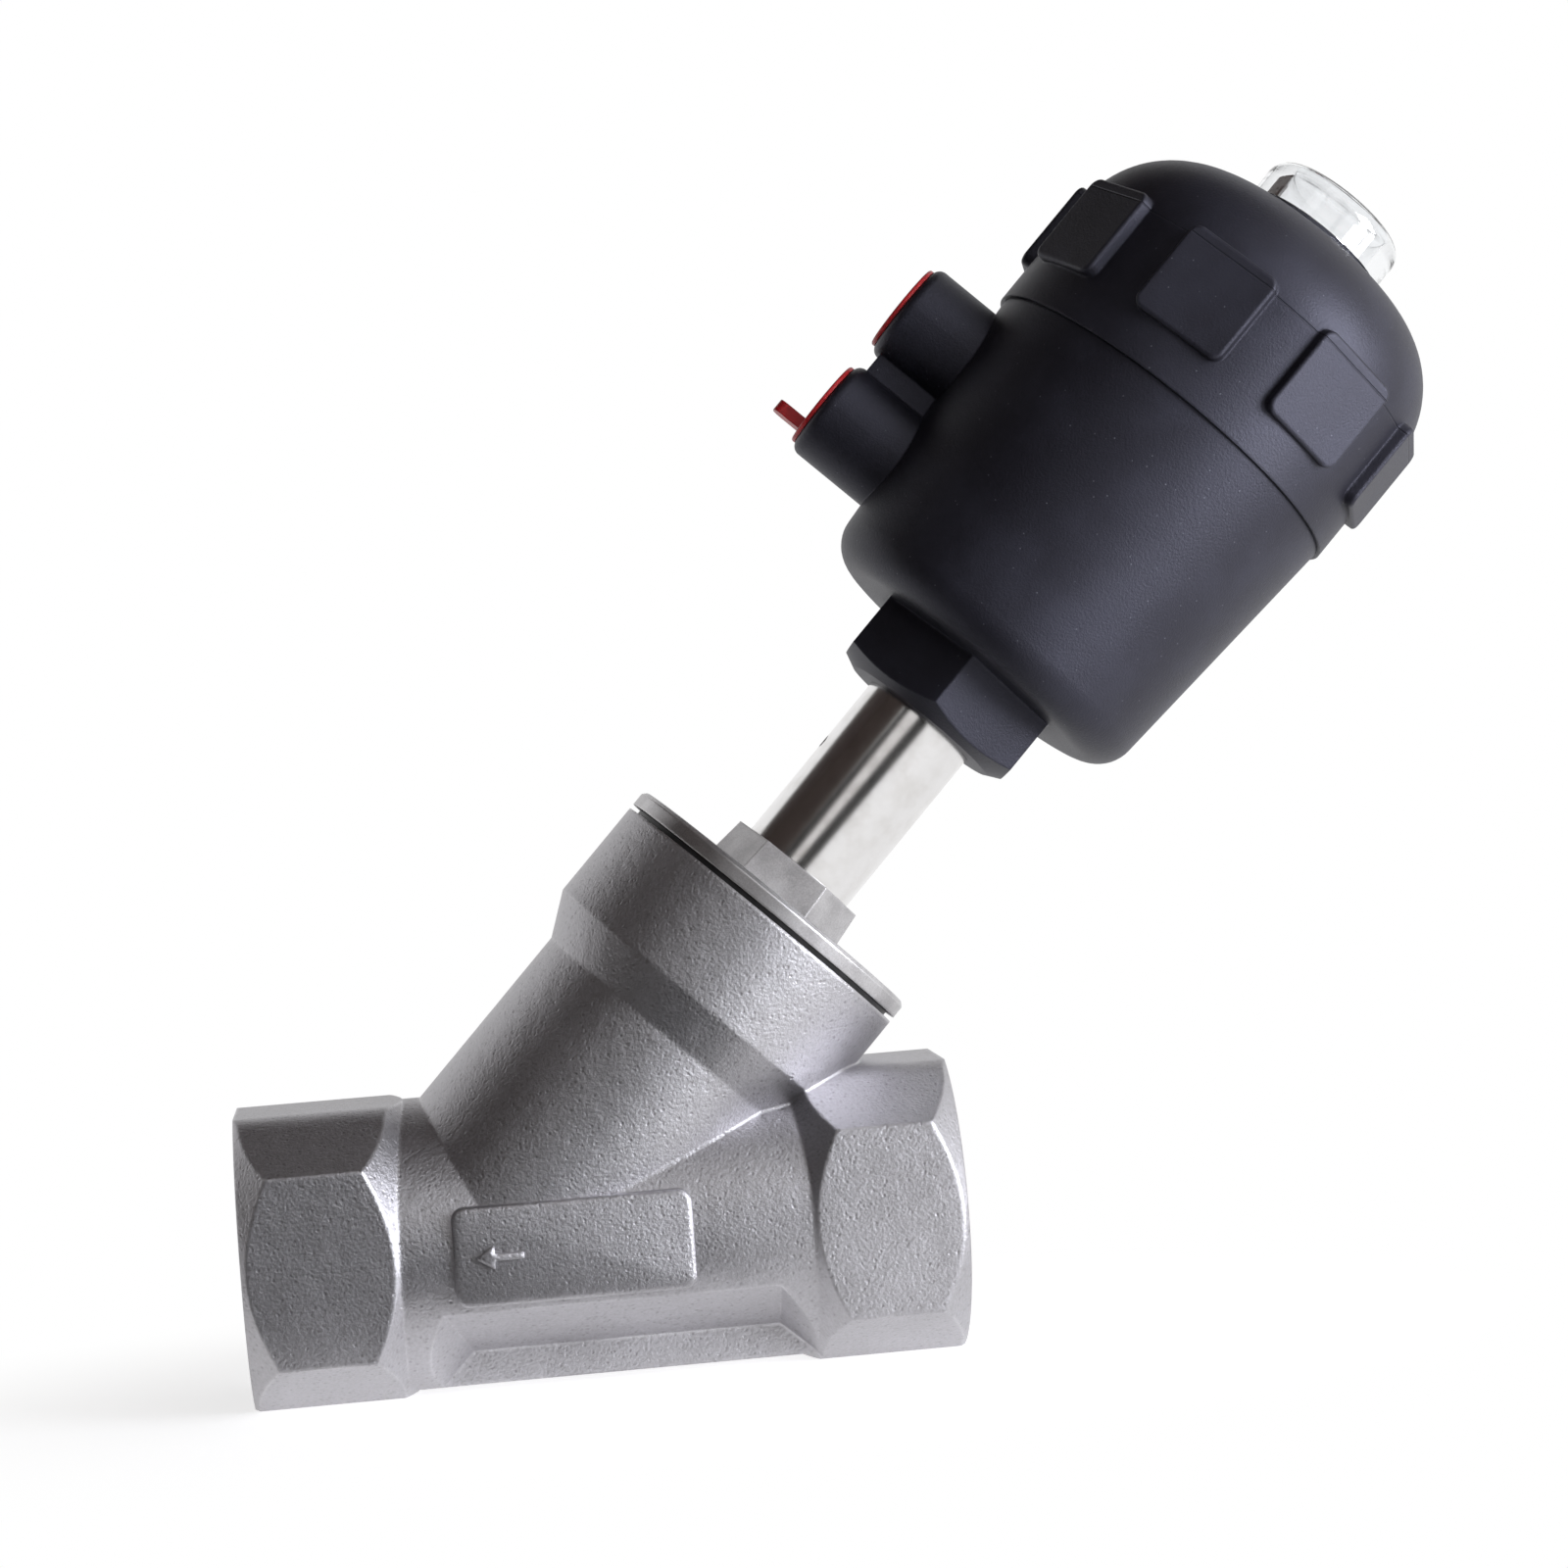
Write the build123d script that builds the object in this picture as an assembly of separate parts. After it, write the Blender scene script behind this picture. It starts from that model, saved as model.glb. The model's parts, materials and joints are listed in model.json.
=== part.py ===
from build123d import *
import os
from math import cos, radians, sin, sqrt

# Pneumatic angle seat valve, G1 threaded ends, normally closed. Millimetres throughout.
# Frame: the origin is the centre of the inlet mouth, +X runs out of the inlet along the pipe,
# +Z is up. Heights called "level" are measured along the bonnet axis, from the pipe axis.

# ---- pipe body --------------------------------------------------------------------------
FACE_TO_FACE = 90.0
PORT_AF = 41.0                # across flats of the two port hexagons
PORT_LENGTH = 18.9            # port hexagon, measured along the middle of a flat
END_FACE_RADIUS = 19.8        # where the outer 45 degree chamfer starts
CROWN_HEIGHT = 18.2           # flat tops and bottoms of the ports, above and below the axis
CROWN_CORNER_RADIUS = 9.0     # rounds the flat top of a port into the facets beside it
KEEL_DEPTH = 17.2             # flat underside of the barrel
BARREL_RADIUS = 20.1          # half width; the barrel's upper half is flattened to the crown height
THREAD_CORE_RADIUS = 15.15    # core of the G1 female thread
THREAD_DEPTH = 18.0
THREAD_LEAD_IN = 1.0          # chamfer at each mouth, up to the outside of the thread
WATERWAY_RADIUS = 14.2
KEEL_HALF_WIDTH = 10.5        # web left between the two pockets under the barrel
POCKET_ROOF_DEPTH = 13.0      # where the sloping roof of a pocket meets the web
POCKET_ROOF_ANGLE = 36.0
POCKET_LENGTH = 38.6
POCKET_OFFSET = 2.0           # middle of the pockets from mid-length, towards the inlet
OUTLET_RAMP_FACING = (0.55, -0.62, -0.54)
INLET_RAMP_FACING = (-0.55, -0.42, -0.61)

# ---- bonnet line of the body ------------------------------------------------------------
BONNET_OFFSET = 13.0          # axes cross this far beyond mid-length, away from the inlet
BONNET_ANGLE = 46.0           # bonnet axis above the pipe axis
BRANCH_RADIUS = 18.8          # oval branch, measured in the plane of the two axes
BRANCH_SIDE_STEP = 0.1        # sides of the branch stand this far inside the barrel's
CONE_START_LEVEL = 33.5
COLLAR_WALL = 4.6             # outside the bonnet thread
COLLAR_START_LEVEL = 39.2
COLLAR_TOP_LEVEL = 52.7
CHAMBER_RADIUS = 14.8         # valve chamber inside the branch
PARTITION_TOP_LEVEL = 1.5
PARTITION_THICKNESS = 4.0
SEAT_RADIUS = 11.5
SEAT_LIP_WIDTH = 1.7
SEAT_LIP_HEIGHT = 2.0

# ---- bonnet -----------------------------------------------------------------------------
BONNET_THREAD_RADIUS = 17.0
BONNET_NOSE_LENGTH = 12.0     # nose below the collar top
GASKET_THICKNESS = 0.7
GASKET_WIDTH = 3.4            # leaves its edge back from the edge of the plate
PLATE_THICKNESS = 2.2
PLATE_EDGE_CHAMFER = 0.5
BONNET_HEX_AF = 16.6
BONNET_HEX_FLARE = 0.9        # extra across flats at the foot of the hexagon
BONNET_HEX_HEIGHT = 4.9
BONNET_HEX_TURN = -9.0
PACKING_RADIUS = 8.5
PACKING_FLOOR_THICKNESS = 3.0

# ---- bonnet tube ------------------------------------------------------------------------
TUBE_RADIUS = 7.9
TUBE_BORE_RADIUS = 5.4
TUBE_SPIGOT_RADIUS = 6.9
TUBE_NECK_RADIUS = 7.0        # reduced end that carries the actuator
TUBE_SHOULDER_LEVEL = 90.0
TUBE_TOP_LEVEL = 102.0
WEEP_HOLE_RADIUS = 0.9
WEEP_HOLE_LEVEL = 75.2

# ---- stem, disc and packing -------------------------------------------------------------
STEM_RADIUS = 4.0
STEM_THREAD_RADIUS = 3.0
RUNNING_FIT = 0.03            # radial clearance of each sliding fit
VALVE_LIFT = 8.0
DISC_RADIUS = 13.9
DISC_PLATE_THICKNESS = 3.6
DISC_HUB_RADIUS = 7.0
DISC_HUB_HEIGHT = 9.5
DISC_SEAL_RADIUS = 13.3
DISC_SEAL_BORE_RADIUS = 9.0
DISC_SEAL_THICKNESS = 3.0
DISC_SKIRT_HEIGHT = 2.0
SEAT_REST_GAP = 0.02
CLAMP_RADIUS = 10.6
CLAMP_THICKNESS = 1.9
STEM_NUT_AF = 10.0
STEM_NUT_HEIGHT = 5.0
STEM_THREAD_RUNOUT = 1.1      # thread showing past a nut
GUIDE_WALL = 1.5
GUIDE_FLANGE_THICKNESS = 1.0
PACKING_SPRING_LENGTH = 4.0
PACKING_SPRING_WIRE = 1.0
PACKING_SPRING_TURNS = 2.5
PACKING_WASHER_THICKNESS = 1.0
V_RING_COUNT = 3
V_RING_HEIGHT = 1.3
V_RING_ANGLE_DROP = 0.7       # height of the V in each ring
UPPER_GUIDE_LEVEL = 84.0
UPPER_GUIDE_LENGTH = 7.0
ROD_SEAL_LENGTH = 3.5
ROD_SEAL_LIP = 1.0
ROD_WASHER_THICKNESS = 1.0
CIRCLIP_THICKNESS = 1.0
CIRCLIP_DEPTH = 0.6           # how far a circlip sits in its groove
CIRCLIP_OPENING = 60.0        # degrees

# ---- actuator housing -------------------------------------------------------------------
ACTUATOR_TURN = -6.0          # rest position of the swivelling actuator
SWIVEL_FIT = 0.05
HOUSING_HEX_AF = 25.8
HOUSING_HEX_LEVEL = 85.1
HOUSING_HEX_CHAMFER = 1.9
CUP_LEVEL = 94.5
CUP_FOOT_WALL = 3.0           # cup outside the cylinder at its foot
CUP_FOOT_FILLET = 5.0
CUP_RIM_WALL = 5.9            # and at its rim
SEAM_LEVEL = 134.2
CYLINDER_RADIUS = 20.0        # piston bore
CYLINDER_FLOOR_LEVEL = 98.5
NECK_WALL = 3.4
NECK_HEIGHT = 10.0
LOWER_PORT_LEVEL = 108.9
PORT_SPACING = 16.3
AIR_BOSS_RADIUS = 7.0
AIR_BOSS_LENGTH = 9.4         # boss beyond the rim of the cup
AIR_BOSS_EDGE = 1.3
AIR_THREAD_CORE_RADIUS = 4.28     # core of the G1/8 female thread
AIR_THREAD_DEPTH = 7.5
AIR_SPOTFACE_RADIUS = 5.6
AIR_SPOTFACE_DEPTH = 2.4
AIR_DRILLING_RADIUS = 1.7
BOSS_RIB_THICKNESS = 4.0
BOSS_RIB_SETBACK = 1.4        # rib end behind the end faces of the bosses

# ---- cover, cap and indicator -----------------------------------------------------------
COVER_TURN = 9.0              # where the cover's pads stop when it is screwed home
COVER_SKIRT_WALL = 2.9        # cover outside the thread of the neck
COVER_WALL = 3.8
COVER_THREAD_GAP = 0.1
COVER_SHOULDER_LEVEL = 150.6
COVER_DOME_RADIUS = 13.7
PAD_COUNT = 8
PAD_WIDTH = 13.4
PAD_START_LEVEL = 139.8
PAD_HEIGHT = 12.9
PAD_RELIEF = 0.8              # flat face of a pad, outside the round cover
PAD_DEPTH = 3.0
PAD_CORNER = 1.5
PAD_EDGE = 0.45
SPRING_GUIDE_RADIUS = 11.0    # boss under the crown that centres the return spring
SPRING_GUIDE_LEVEL = 156.5
CROWN_RING_RADIUS = 10.7
CROWN_RING_LEVEL = 165.9
CROWN_RING_EDGE = 0.7
SIGHT_BORE_RADIUS = 8.6
SIGHT_FLOOR_LEVEL = 160.2
CAP_RADIUS = 10.2
CAP_TOP_LEVEL = 172.6
CAP_WALL = 1.2
CAP_SPIGOT_LENGTH = 5.0
CAP_CORNER_RADIUS = 2.4
CAP_CROWN = 0.7

# ---- piston -----------------------------------------------------------------------------
PISTON_LEVEL = 111.4
PISTON_THICKNESS = 5.8
PISTON_SIDE_GAP = 0.4
SEAL_GROOVE_DEPTH = 3.0
SEAL_GROOVE_OFFSET = 0.9
SEAL_HEIGHT = 2.3
GUIDE_RING_DEPTH = 1.5
GUIDE_RING_HEIGHT = 1.5
PISTON_HUB_RADIUS = 7.0
PISTON_HUB_HEIGHT = 1.8
SPRING_RECESS_DEPTH = 1.2
SPRING_WIRE = 2.4
SPRING_COIL_RADIUS = 13.5     # to the middle of the wire
SPRING_TURNS = 5.0
SPRING_SEAT_GAP = 0.1
INDICATOR_ROD_RADIUS = 3.5
INDICATOR_SOCKET_WALL = 1.4
INDICATOR_BUTTON_RADIUS = 7.0
INDICATOR_BUTTON_THICKNESS = 1.8
INDICATOR_OPEN_GAP = 0.4      # left under the cap when the valve is open

# ---- O-rings and transport plugs --------------------------------------------------------
SWIVEL_RING_SECTION = 1.8
SWIVEL_RING_LEVEL = 95.5
COVER_RING_SECTION = 1.8
COVER_RING_LEVEL = 137.5
INDICATOR_RING_SECTION = 1.6
INDICATOR_RING_LEVEL = 158.5
O_RING_GAP = 0.03
PLUG_HEAD_RADIUS = 6.1
PLUG_HEAD_THICKNESS = 0.6
PLUG_SHANK_LENGTH = 2.0
PLUG_WALL = 1.0
PLUG_TAB_LENGTH = 4.5
PLUG_TAB_WIDTH = 3.4
PLUG_TAB_THICKNESS = 1.6
PLUG_TAB_OFFSET = 3.8         # tab from the middle of the plug, towards the pipe

# ---- levels and sizes that follow from the ones above ------------------------------------
BONNET_X = -FACE_TO_FACE / 2 - BONNET_OFFSET
POCKET_CENTRE_X = -FACE_TO_FACE / 2 + POCKET_OFFSET
COLLAR_RADIUS = BONNET_THREAD_RADIUS + COLLAR_WALL
NECK_RADIUS = CYLINDER_RADIUS + NECK_WALL
CUP_FOOT_RADIUS = CYLINDER_RADIUS + CUP_FOOT_WALL
CUP_RIM_RADIUS = CYLINDER_RADIUS + CUP_RIM_WALL
AIR_BOSS_REACH = CUP_RIM_RADIUS + AIR_BOSS_LENGTH
COVER_RADIUS = NECK_RADIUS + COVER_THREAD_GAP + COVER_SKIRT_WALL
SEAT_LEVEL = PARTITION_TOP_LEVEL + SEAT_LIP_HEIGHT
DISC_LEVEL = SEAT_LEVEL + SEAT_REST_GAP
DISC_PLATE_LEVEL = DISC_LEVEL + DISC_SEAL_THICKNESS
PLATE_LEVEL = COLLAR_TOP_LEVEL + GASKET_THICKNESS
BONNET_HEX_LEVEL = PLATE_LEVEL + PLATE_THICKNESS
BONNET_TOP_LEVEL = BONNET_HEX_LEVEL + BONNET_HEX_HEIGHT
NOSE_LEVEL = COLLAR_TOP_LEVEL - BONNET_NOSE_LENGTH
PACKING_LEVEL = NOSE_LEVEL + PACKING_FLOOR_THICKNESS
STEM_HOLE_RADIUS = STEM_RADIUS + RUNNING_FIT
GUIDE_RADIUS = STEM_HOLE_RADIUS + GUIDE_WALL
PISTON_TOP_LEVEL = PISTON_LEVEL + PISTON_THICKNESS
PISTON_NUT_LEVEL = PISTON_TOP_LEVEL + PISTON_HUB_HEIGHT
PISTON_NUT_TOP_LEVEL = PISTON_NUT_LEVEL + STEM_NUT_HEIGHT
UPPER_PORT_LEVEL = LOWER_PORT_LEVEL + PORT_SPACING
ROD_SEAL_LEVEL = UPPER_GUIDE_LEVEL + UPPER_GUIDE_LENGTH + SWIVEL_FIT
ROD_WASHER_LEVEL = ROD_SEAL_LEVEL + ROD_SEAL_LENGTH
ROD_CIRCLIP_LEVEL = ROD_WASHER_LEVEL + ROD_WASHER_THICKNESS
HOUSING_CIRCLIP_LEVEL = CYLINDER_FLOOR_LEVEL + 2 * SWIVEL_FIT + ROD_WASHER_THICKNESS
DOME_CENTRE_RADIUS = COVER_RADIUS - COVER_DOME_RADIUS
CEILING_LEVEL = COVER_SHOULDER_LEVEL + COVER_DOME_RADIUS - COVER_WALL
INDICATOR_HOLE_RADIUS = INDICATOR_ROD_RADIUS + RUNNING_FIT
CAP_CEILING_LEVEL = CAP_TOP_LEVEL - CAP_CROWN - CAP_WALL
BUTTON_LEVEL = CAP_CEILING_LEVEL - INDICATOR_OPEN_GAP - VALVE_LIFT - INDICATOR_BUTTON_THICKNESS

BONNET = Plane(
    origin=(BONNET_X, 0, 0),
    x_dir=(-sin(radians(BONNET_ANGLE)), 0, cos(radians(BONNET_ANGLE))),
    z_dir=(cos(radians(BONNET_ANGLE)), 0, sin(radians(BONNET_ANGLE))),
)


# ---- helpers ----------------------------------------------------------------------------
def on_bonnet(shape):
    """Stand a shape made about Z on the bonnet axis, its +X turned away from the inlet."""
    return BONNET.location * shape


def on_actuator(shape):
    """Stand a shape on the bonnet axis at the actuator's rest position."""
    return BONNET.location * Rot(0, 0, ACTUATOR_TURN) * shape


def turned(*outline):
    """Revolve (radius, level) corners about the bonnet axis."""
    corners = [(radius, 0, level) for radius, level in outline]
    return revolve(make_face(Polyline(*corners, close=True)), Axis.Z)


def ring(outer, inner, low, high):
    """Make a plain ring or sleeve."""
    return Pos(0, 0, low) * extrude(Circle(outer) - Circle(inner), high - low)


def disc_blank(radius, low, high):
    """Make a plain round blank."""
    return Pos(0, 0, low) * extrude(Circle(radius), high - low)


def hexagon(across_flats, low, high):
    """Make a hexagonal prism with a corner on +X."""
    outline = RegularPolygon(across_flats / 2, 6, major_radius=False)
    return Pos(0, 0, low) * extrude(outline, high - low)


def rod_along_x(radius, start, end):
    """Make a round bar along the pipe axis."""
    return Pos(start, 0, 0) * extrude(Plane.YZ * Circle(radius), end - start)


def o_ring(inside_radius, section, level):
    """Make an O-ring whose inside just clears the part that it grips."""
    middle = inside_radius + O_RING_GAP + section / 2
    return Pos(0, 0, level) * Torus(middle, section / 2)


def o_ring_groove(inside_radius, section, level, depth):
    """Make the ring-shaped cutter of an O-ring groove."""
    half = section / 2 + 2 * O_RING_GAP
    return ring(inside_radius + depth, inside_radius, level - half, level + half)


def corner_radius(across_flats):
    """Return the distance from the middle of a hexagon to its corners."""
    return across_flats / 2 / cos(radians(30))


def nut(low):
    """Make one of the two hexagon nuts on the stem ends."""
    corner = corner_radius(STEM_NUT_AF)
    bevel = corner - STEM_NUT_AF / 2
    high = low + STEM_NUT_HEIGHT
    turned_corners = turned((0, low), (corner - bevel, low), (corner, low + bevel / 2),
                            (corner, high - bevel / 2), (corner - bevel, high), (0, high))
    return (hexagon(STEM_NUT_AF, low, high) & turned_corners) - disc_blank(STEM_THREAD_RADIUS, low, high)


def circlip(outer, inner, low):
    """Make an open retaining ring with its gap on +X."""
    band = ring(outer, inner, low, low + CIRCLIP_THICKNESS)
    reach = 2 * outer
    half = radians(CIRCLIP_OPENING / 2)
    wedge = make_face(Polyline((0, 0), (reach * cos(half), -reach * sin(half)),
                               (reach * cos(half), reach * sin(half)), close=True))
    return band - Pos(0, 0, low) * extrude(wedge, CIRCLIP_THICKNESS)


def coil(radius, wire, low, high, turns):
    """Make a round-wire compression spring between two levels."""
    rise = high - low - wire
    path = Helix(pitch=rise / turns, height=rise, radius=radius)
    section = Plane(origin=path @ 0, z_dir=path % 0) * Circle(wire / 2)
    return Pos(0, 0, low + wire / 2) * sweep(section, path, is_frenet=True)


# ---- body casting -----------------------------------------------------------------------
def port_hexagon():
    """Make the inlet's hexagon, chamfered at both ends, its top and bottom corners cast flat."""
    corner = corner_radius(PORT_AF)
    flat = PORT_AF / 2
    root = WATERWAY_RADIUS
    length = PORT_LENGTH + flat - root
    section = RegularPolygon(flat, 6, major_radius=False, rotation=30) & Rectangle(PORT_AF, 2 * CROWN_HEIGHT)
    section = fillet(section.vertices().group_by(Axis.Y)[-1], CROWN_CORNER_RADIUS)
    prism = Pos(-length, 0, 0) * extrude(Plane.YZ * section, length)
    outline = Polyline((0, 0), (0, END_FACE_RADIUS), (END_FACE_RADIUS - corner, corner),
                       (corner - flat - PORT_LENGTH, corner), (-length, root), (-length, 0),
                       close=True)
    return prism & revolve(make_face(outline), Axis.X)


def barrel():
    """Make the barrel between the ports, oval above its axis and flat along its underside."""
    width = 2 * BARREL_RADIUS
    upper = Ellipse(BARREL_RADIUS, CROWN_HEIGHT) & Rectangle(width, width, align=(Align.CENTER, Align.MIN))
    lower = Circle(BARREL_RADIUS) & Rectangle(width, KEEL_DEPTH, align=(Align.CENTER, Align.MAX))
    start = -FACE_TO_FACE + PORT_LENGTH / 2
    return Pos(start, 0, 0) * extrude(Plane.YZ * (upper + lower), FACE_TO_FACE - PORT_LENGTH)


def branch():
    """Make the oval branch that rises from the barrel and flares into the round collar."""
    oval = Ellipse(BRANCH_RADIUS, BARREL_RADIUS - BRANCH_SIDE_STEP)
    stalk = extrude(oval, CONE_START_LEVEL)
    flare = loft([Pos(0, 0, CONE_START_LEVEL) * oval, Pos(0, 0, COLLAR_START_LEVEL) * Circle(COLLAR_RADIUS)])
    return on_bonnet(stalk + flare + disc_blank(COLLAR_RADIUS, COLLAR_START_LEVEL, COLLAR_TOP_LEVEL))


def keel_pocket():
    """Make the cutter of the front pocket under the barrel, its ends sloped as ramps."""
    overshoot = 2 * BARREL_RADIUS
    rise = (overshoot - KEEL_HALF_WIDTH) * sin(radians(POCKET_ROOF_ANGLE)) / cos(radians(POCKET_ROOF_ANGLE))
    outline = Polyline((-KEEL_HALF_WIDTH, -POCKET_ROOF_DEPTH),
                       (-overshoot, -POCKET_ROOF_DEPTH + rise),
                       (-overshoot, -overshoot),
                       (-KEEL_HALF_WIDTH, -overshoot), close=True)
    prism = Pos(-FACE_TO_FACE, 0, 0) * extrude(Plane.YZ * make_face(outline), FACE_TO_FACE)
    for side, facing in ((-1, OUTLET_RAMP_FACING), (1, INLET_RAMP_FACING)):
        corner = (POCKET_CENTRE_X + side * POCKET_LENGTH / 2, -KEEL_HALF_WIDTH, -POCKET_ROOF_DEPTH)
        ramp = Plane(origin=corner, z_dir=facing)
        prism = split(prism, bisect_by=ramp, keep=Keep.TOP)
    return prism


def threaded_mouth():
    """Make the cutter of the inlet's threaded hole, with its lead-in chamfer."""
    bore = rod_along_x(THREAD_CORE_RADIUS, -THREAD_DEPTH, 0)
    mouth = THREAD_CORE_RADIUS + THREAD_LEAD_IN
    outline = Polyline((-THREAD_LEAD_IN, 0), (-THREAD_LEAD_IN, THREAD_CORE_RADIUS), (0, mouth),
                       (0, 0), close=True)
    return bore + revolve(make_face(outline), Axis.X)


def waterway():
    """Make the cutters of the flow path on both sides of the slanting partition."""
    run = rod_along_x(WATERWAY_RADIUS, THREAD_DEPTH - FACE_TO_FACE, -THREAD_DEPTH)
    reach = FACE_TO_FACE
    upstream = run & on_bonnet(Pos(0, 0, PARTITION_TOP_LEVEL + reach) * Box(2 * reach, reach, 2 * reach))
    partition_foot = PARTITION_TOP_LEVEL - PARTITION_THICKNESS
    downstream = run & on_bonnet(Pos(0, 0, partition_foot - reach) * Box(2 * reach, reach, 2 * reach))
    return upstream + downstream


def valve_body():
    """Make the Y-shaped body casting with its threaded ends, seat and bonnet collar."""
    outlet_end = Pos(-FACE_TO_FACE, 0, 0) * Rot(0, 0, 180)
    port = port_hexagon()
    casting = barrel() + port + outlet_end * port
    pocket = keel_pocket()
    casting = casting - pocket - mirror(pocket, about=Plane.XZ)
    casting += branch()
    mouth = threaded_mouth()
    casting = casting - mouth - outlet_end * mouth - waterway()
    lip_radius = SEAT_RADIUS + SEAT_LIP_WIDTH
    casting -= on_bonnet(turned(
        (0, PARTITION_TOP_LEVEL), (CHAMBER_RADIUS, PARTITION_TOP_LEVEL), (CHAMBER_RADIUS, NOSE_LEVEL),
        (BONNET_THREAD_RADIUS, NOSE_LEVEL), (BONNET_THREAD_RADIUS, COLLAR_TOP_LEVEL),
        (0, COLLAR_TOP_LEVEL)))
    casting += on_bonnet(ring(lip_radius, SEAT_RADIUS, PARTITION_TOP_LEVEL, SEAT_LEVEL))
    casting -= on_bonnet(disc_blank(SEAT_RADIUS, -PARTITION_THICKNESS, SEAT_LEVEL))
    return casting


# ---- bonnet and tube --------------------------------------------------------------------
def bonnet_gasket():
    """Make the flat gasket between collar and plate."""
    outer = BONNET_THREAD_RADIUS + GASKET_WIDTH
    return on_bonnet(ring(outer, BONNET_THREAD_RADIUS, COLLAR_TOP_LEVEL, PLATE_LEVEL))


def bonnet():
    """Make the screwed bonnet: nose, plate and hexagon around the packing chamber."""
    edge = PLATE_EDGE_CHAMFER
    blank = turned((0, NOSE_LEVEL), (BONNET_THREAD_RADIUS, NOSE_LEVEL), (BONNET_THREAD_RADIUS, PLATE_LEVEL),
                   (COLLAR_RADIUS, PLATE_LEVEL), (COLLAR_RADIUS, BONNET_HEX_LEVEL - edge),
                   (COLLAR_RADIUS - edge, BONNET_HEX_LEVEL), (0, BONNET_HEX_LEVEL))
    foot = Pos(0, 0, BONNET_HEX_LEVEL) * RegularPolygon(
        (BONNET_HEX_AF + BONNET_HEX_FLARE) / 2, 6, major_radius=False)
    head = Pos(0, 0, BONNET_TOP_LEVEL) * RegularPolygon(BONNET_HEX_AF / 2, 6, major_radius=False)
    wrench_hexagon = Rot(0, 0, BONNET_HEX_TURN) * loft([foot, head])
    chamber = disc_blank(PACKING_RADIUS, PACKING_LEVEL, BONNET_HEX_LEVEL)
    guide_hole = disc_blank(GUIDE_RADIUS, NOSE_LEVEL, PACKING_LEVEL)
    tube_hole = disc_blank(TUBE_SPIGOT_RADIUS, BONNET_HEX_LEVEL, BONNET_TOP_LEVEL)
    return on_bonnet(blank + wrench_hexagon - chamber - guide_hole - tube_hole)


def bonnet_tube():
    """Make the polished tube, stepped at both ends, with a weep hole above the packing."""
    clip_groove_radius = TUBE_NECK_RADIUS - CIRCLIP_DEPTH
    clip_top = HOUSING_CIRCLIP_LEVEL + CIRCLIP_THICKNESS
    tube = turned((0, BONNET_HEX_LEVEL), (TUBE_SPIGOT_RADIUS, BONNET_HEX_LEVEL),
                  (TUBE_SPIGOT_RADIUS, BONNET_TOP_LEVEL), (TUBE_RADIUS, BONNET_TOP_LEVEL),
                  (TUBE_RADIUS, TUBE_SHOULDER_LEVEL), (TUBE_NECK_RADIUS, TUBE_SHOULDER_LEVEL),
                  (TUBE_NECK_RADIUS, HOUSING_CIRCLIP_LEVEL), (clip_groove_radius, HOUSING_CIRCLIP_LEVEL),
                  (clip_groove_radius, clip_top), (TUBE_NECK_RADIUS, clip_top),
                  (TUBE_NECK_RADIUS, TUBE_TOP_LEVEL), (0, TUBE_TOP_LEVEL))
    tube -= disc_blank(TUBE_BORE_RADIUS, BONNET_HEX_LEVEL, TUBE_TOP_LEVEL)
    tube -= disc_blank(TUBE_BORE_RADIUS + CIRCLIP_DEPTH, ROD_CIRCLIP_LEVEL,
                       ROD_CIRCLIP_LEVEL + CIRCLIP_THICKNESS)
    weep_hole = Pos(0, 0, WEEP_HOLE_LEVEL) * extrude(Plane.YZ * Circle(WEEP_HOLE_RADIUS), TUBE_RADIUS)
    return on_bonnet(tube - weep_hole)


def lower_guide():
    """Make the flanged bush that guides the stem in the bonnet nose."""
    sleeve = ring(GUIDE_RADIUS, STEM_HOLE_RADIUS, NOSE_LEVEL, PACKING_LEVEL)
    flange = ring(PACKING_RADIUS, STEM_HOLE_RADIUS, PACKING_LEVEL, PACKING_LEVEL + GUIDE_FLANGE_THICKNESS)
    return on_bonnet(sleeve + flange)


PACKING_SPRING_LEVEL = PACKING_LEVEL + GUIDE_FLANGE_THICKNESS
PACKING_WASHER_LEVEL = PACKING_SPRING_LEVEL + PACKING_SPRING_LENGTH
V_RING_LEVEL = PACKING_WASHER_LEVEL + PACKING_WASHER_THICKNESS
GLAND_LEVEL = V_RING_LEVEL + V_RING_COUNT * V_RING_HEIGHT


def packing_spring():
    """Make the small spring that keeps the packing tight."""
    middle = (STEM_RADIUS + PACKING_RADIUS) / 2
    low = PACKING_SPRING_LEVEL
    return on_bonnet(coil(middle, PACKING_SPRING_WIRE, low, low + PACKING_SPRING_LENGTH, PACKING_SPRING_TURNS))


def packing_ring(low, high, top_drop, foot_drop):
    """Make a ring of the packing stack with V-shaped ends."""
    middle = (STEM_HOLE_RADIUS + PACKING_RADIUS) / 2
    return turned((STEM_HOLE_RADIUS, low), (middle, low + foot_drop), (PACKING_RADIUS, low),
                  (PACKING_RADIUS, high), (middle, high + top_drop), (STEM_HOLE_RADIUS, high))


def packing_washer():
    """Make the lower adapter of the packing, with a V-shaped top."""
    return on_bonnet(packing_ring(PACKING_WASHER_LEVEL, V_RING_LEVEL, V_RING_ANGLE_DROP, 0))


def v_rings():
    """Make the stacked V-rings that seal the stem."""
    levels = [V_RING_LEVEL + index * V_RING_HEIGHT for index in range(V_RING_COUNT)]
    rings = [packing_ring(low, low + V_RING_HEIGHT, V_RING_ANGLE_DROP, V_RING_ANGLE_DROP) for low in levels]
    return Compound([on_bonnet(one) for one in rings])


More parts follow.
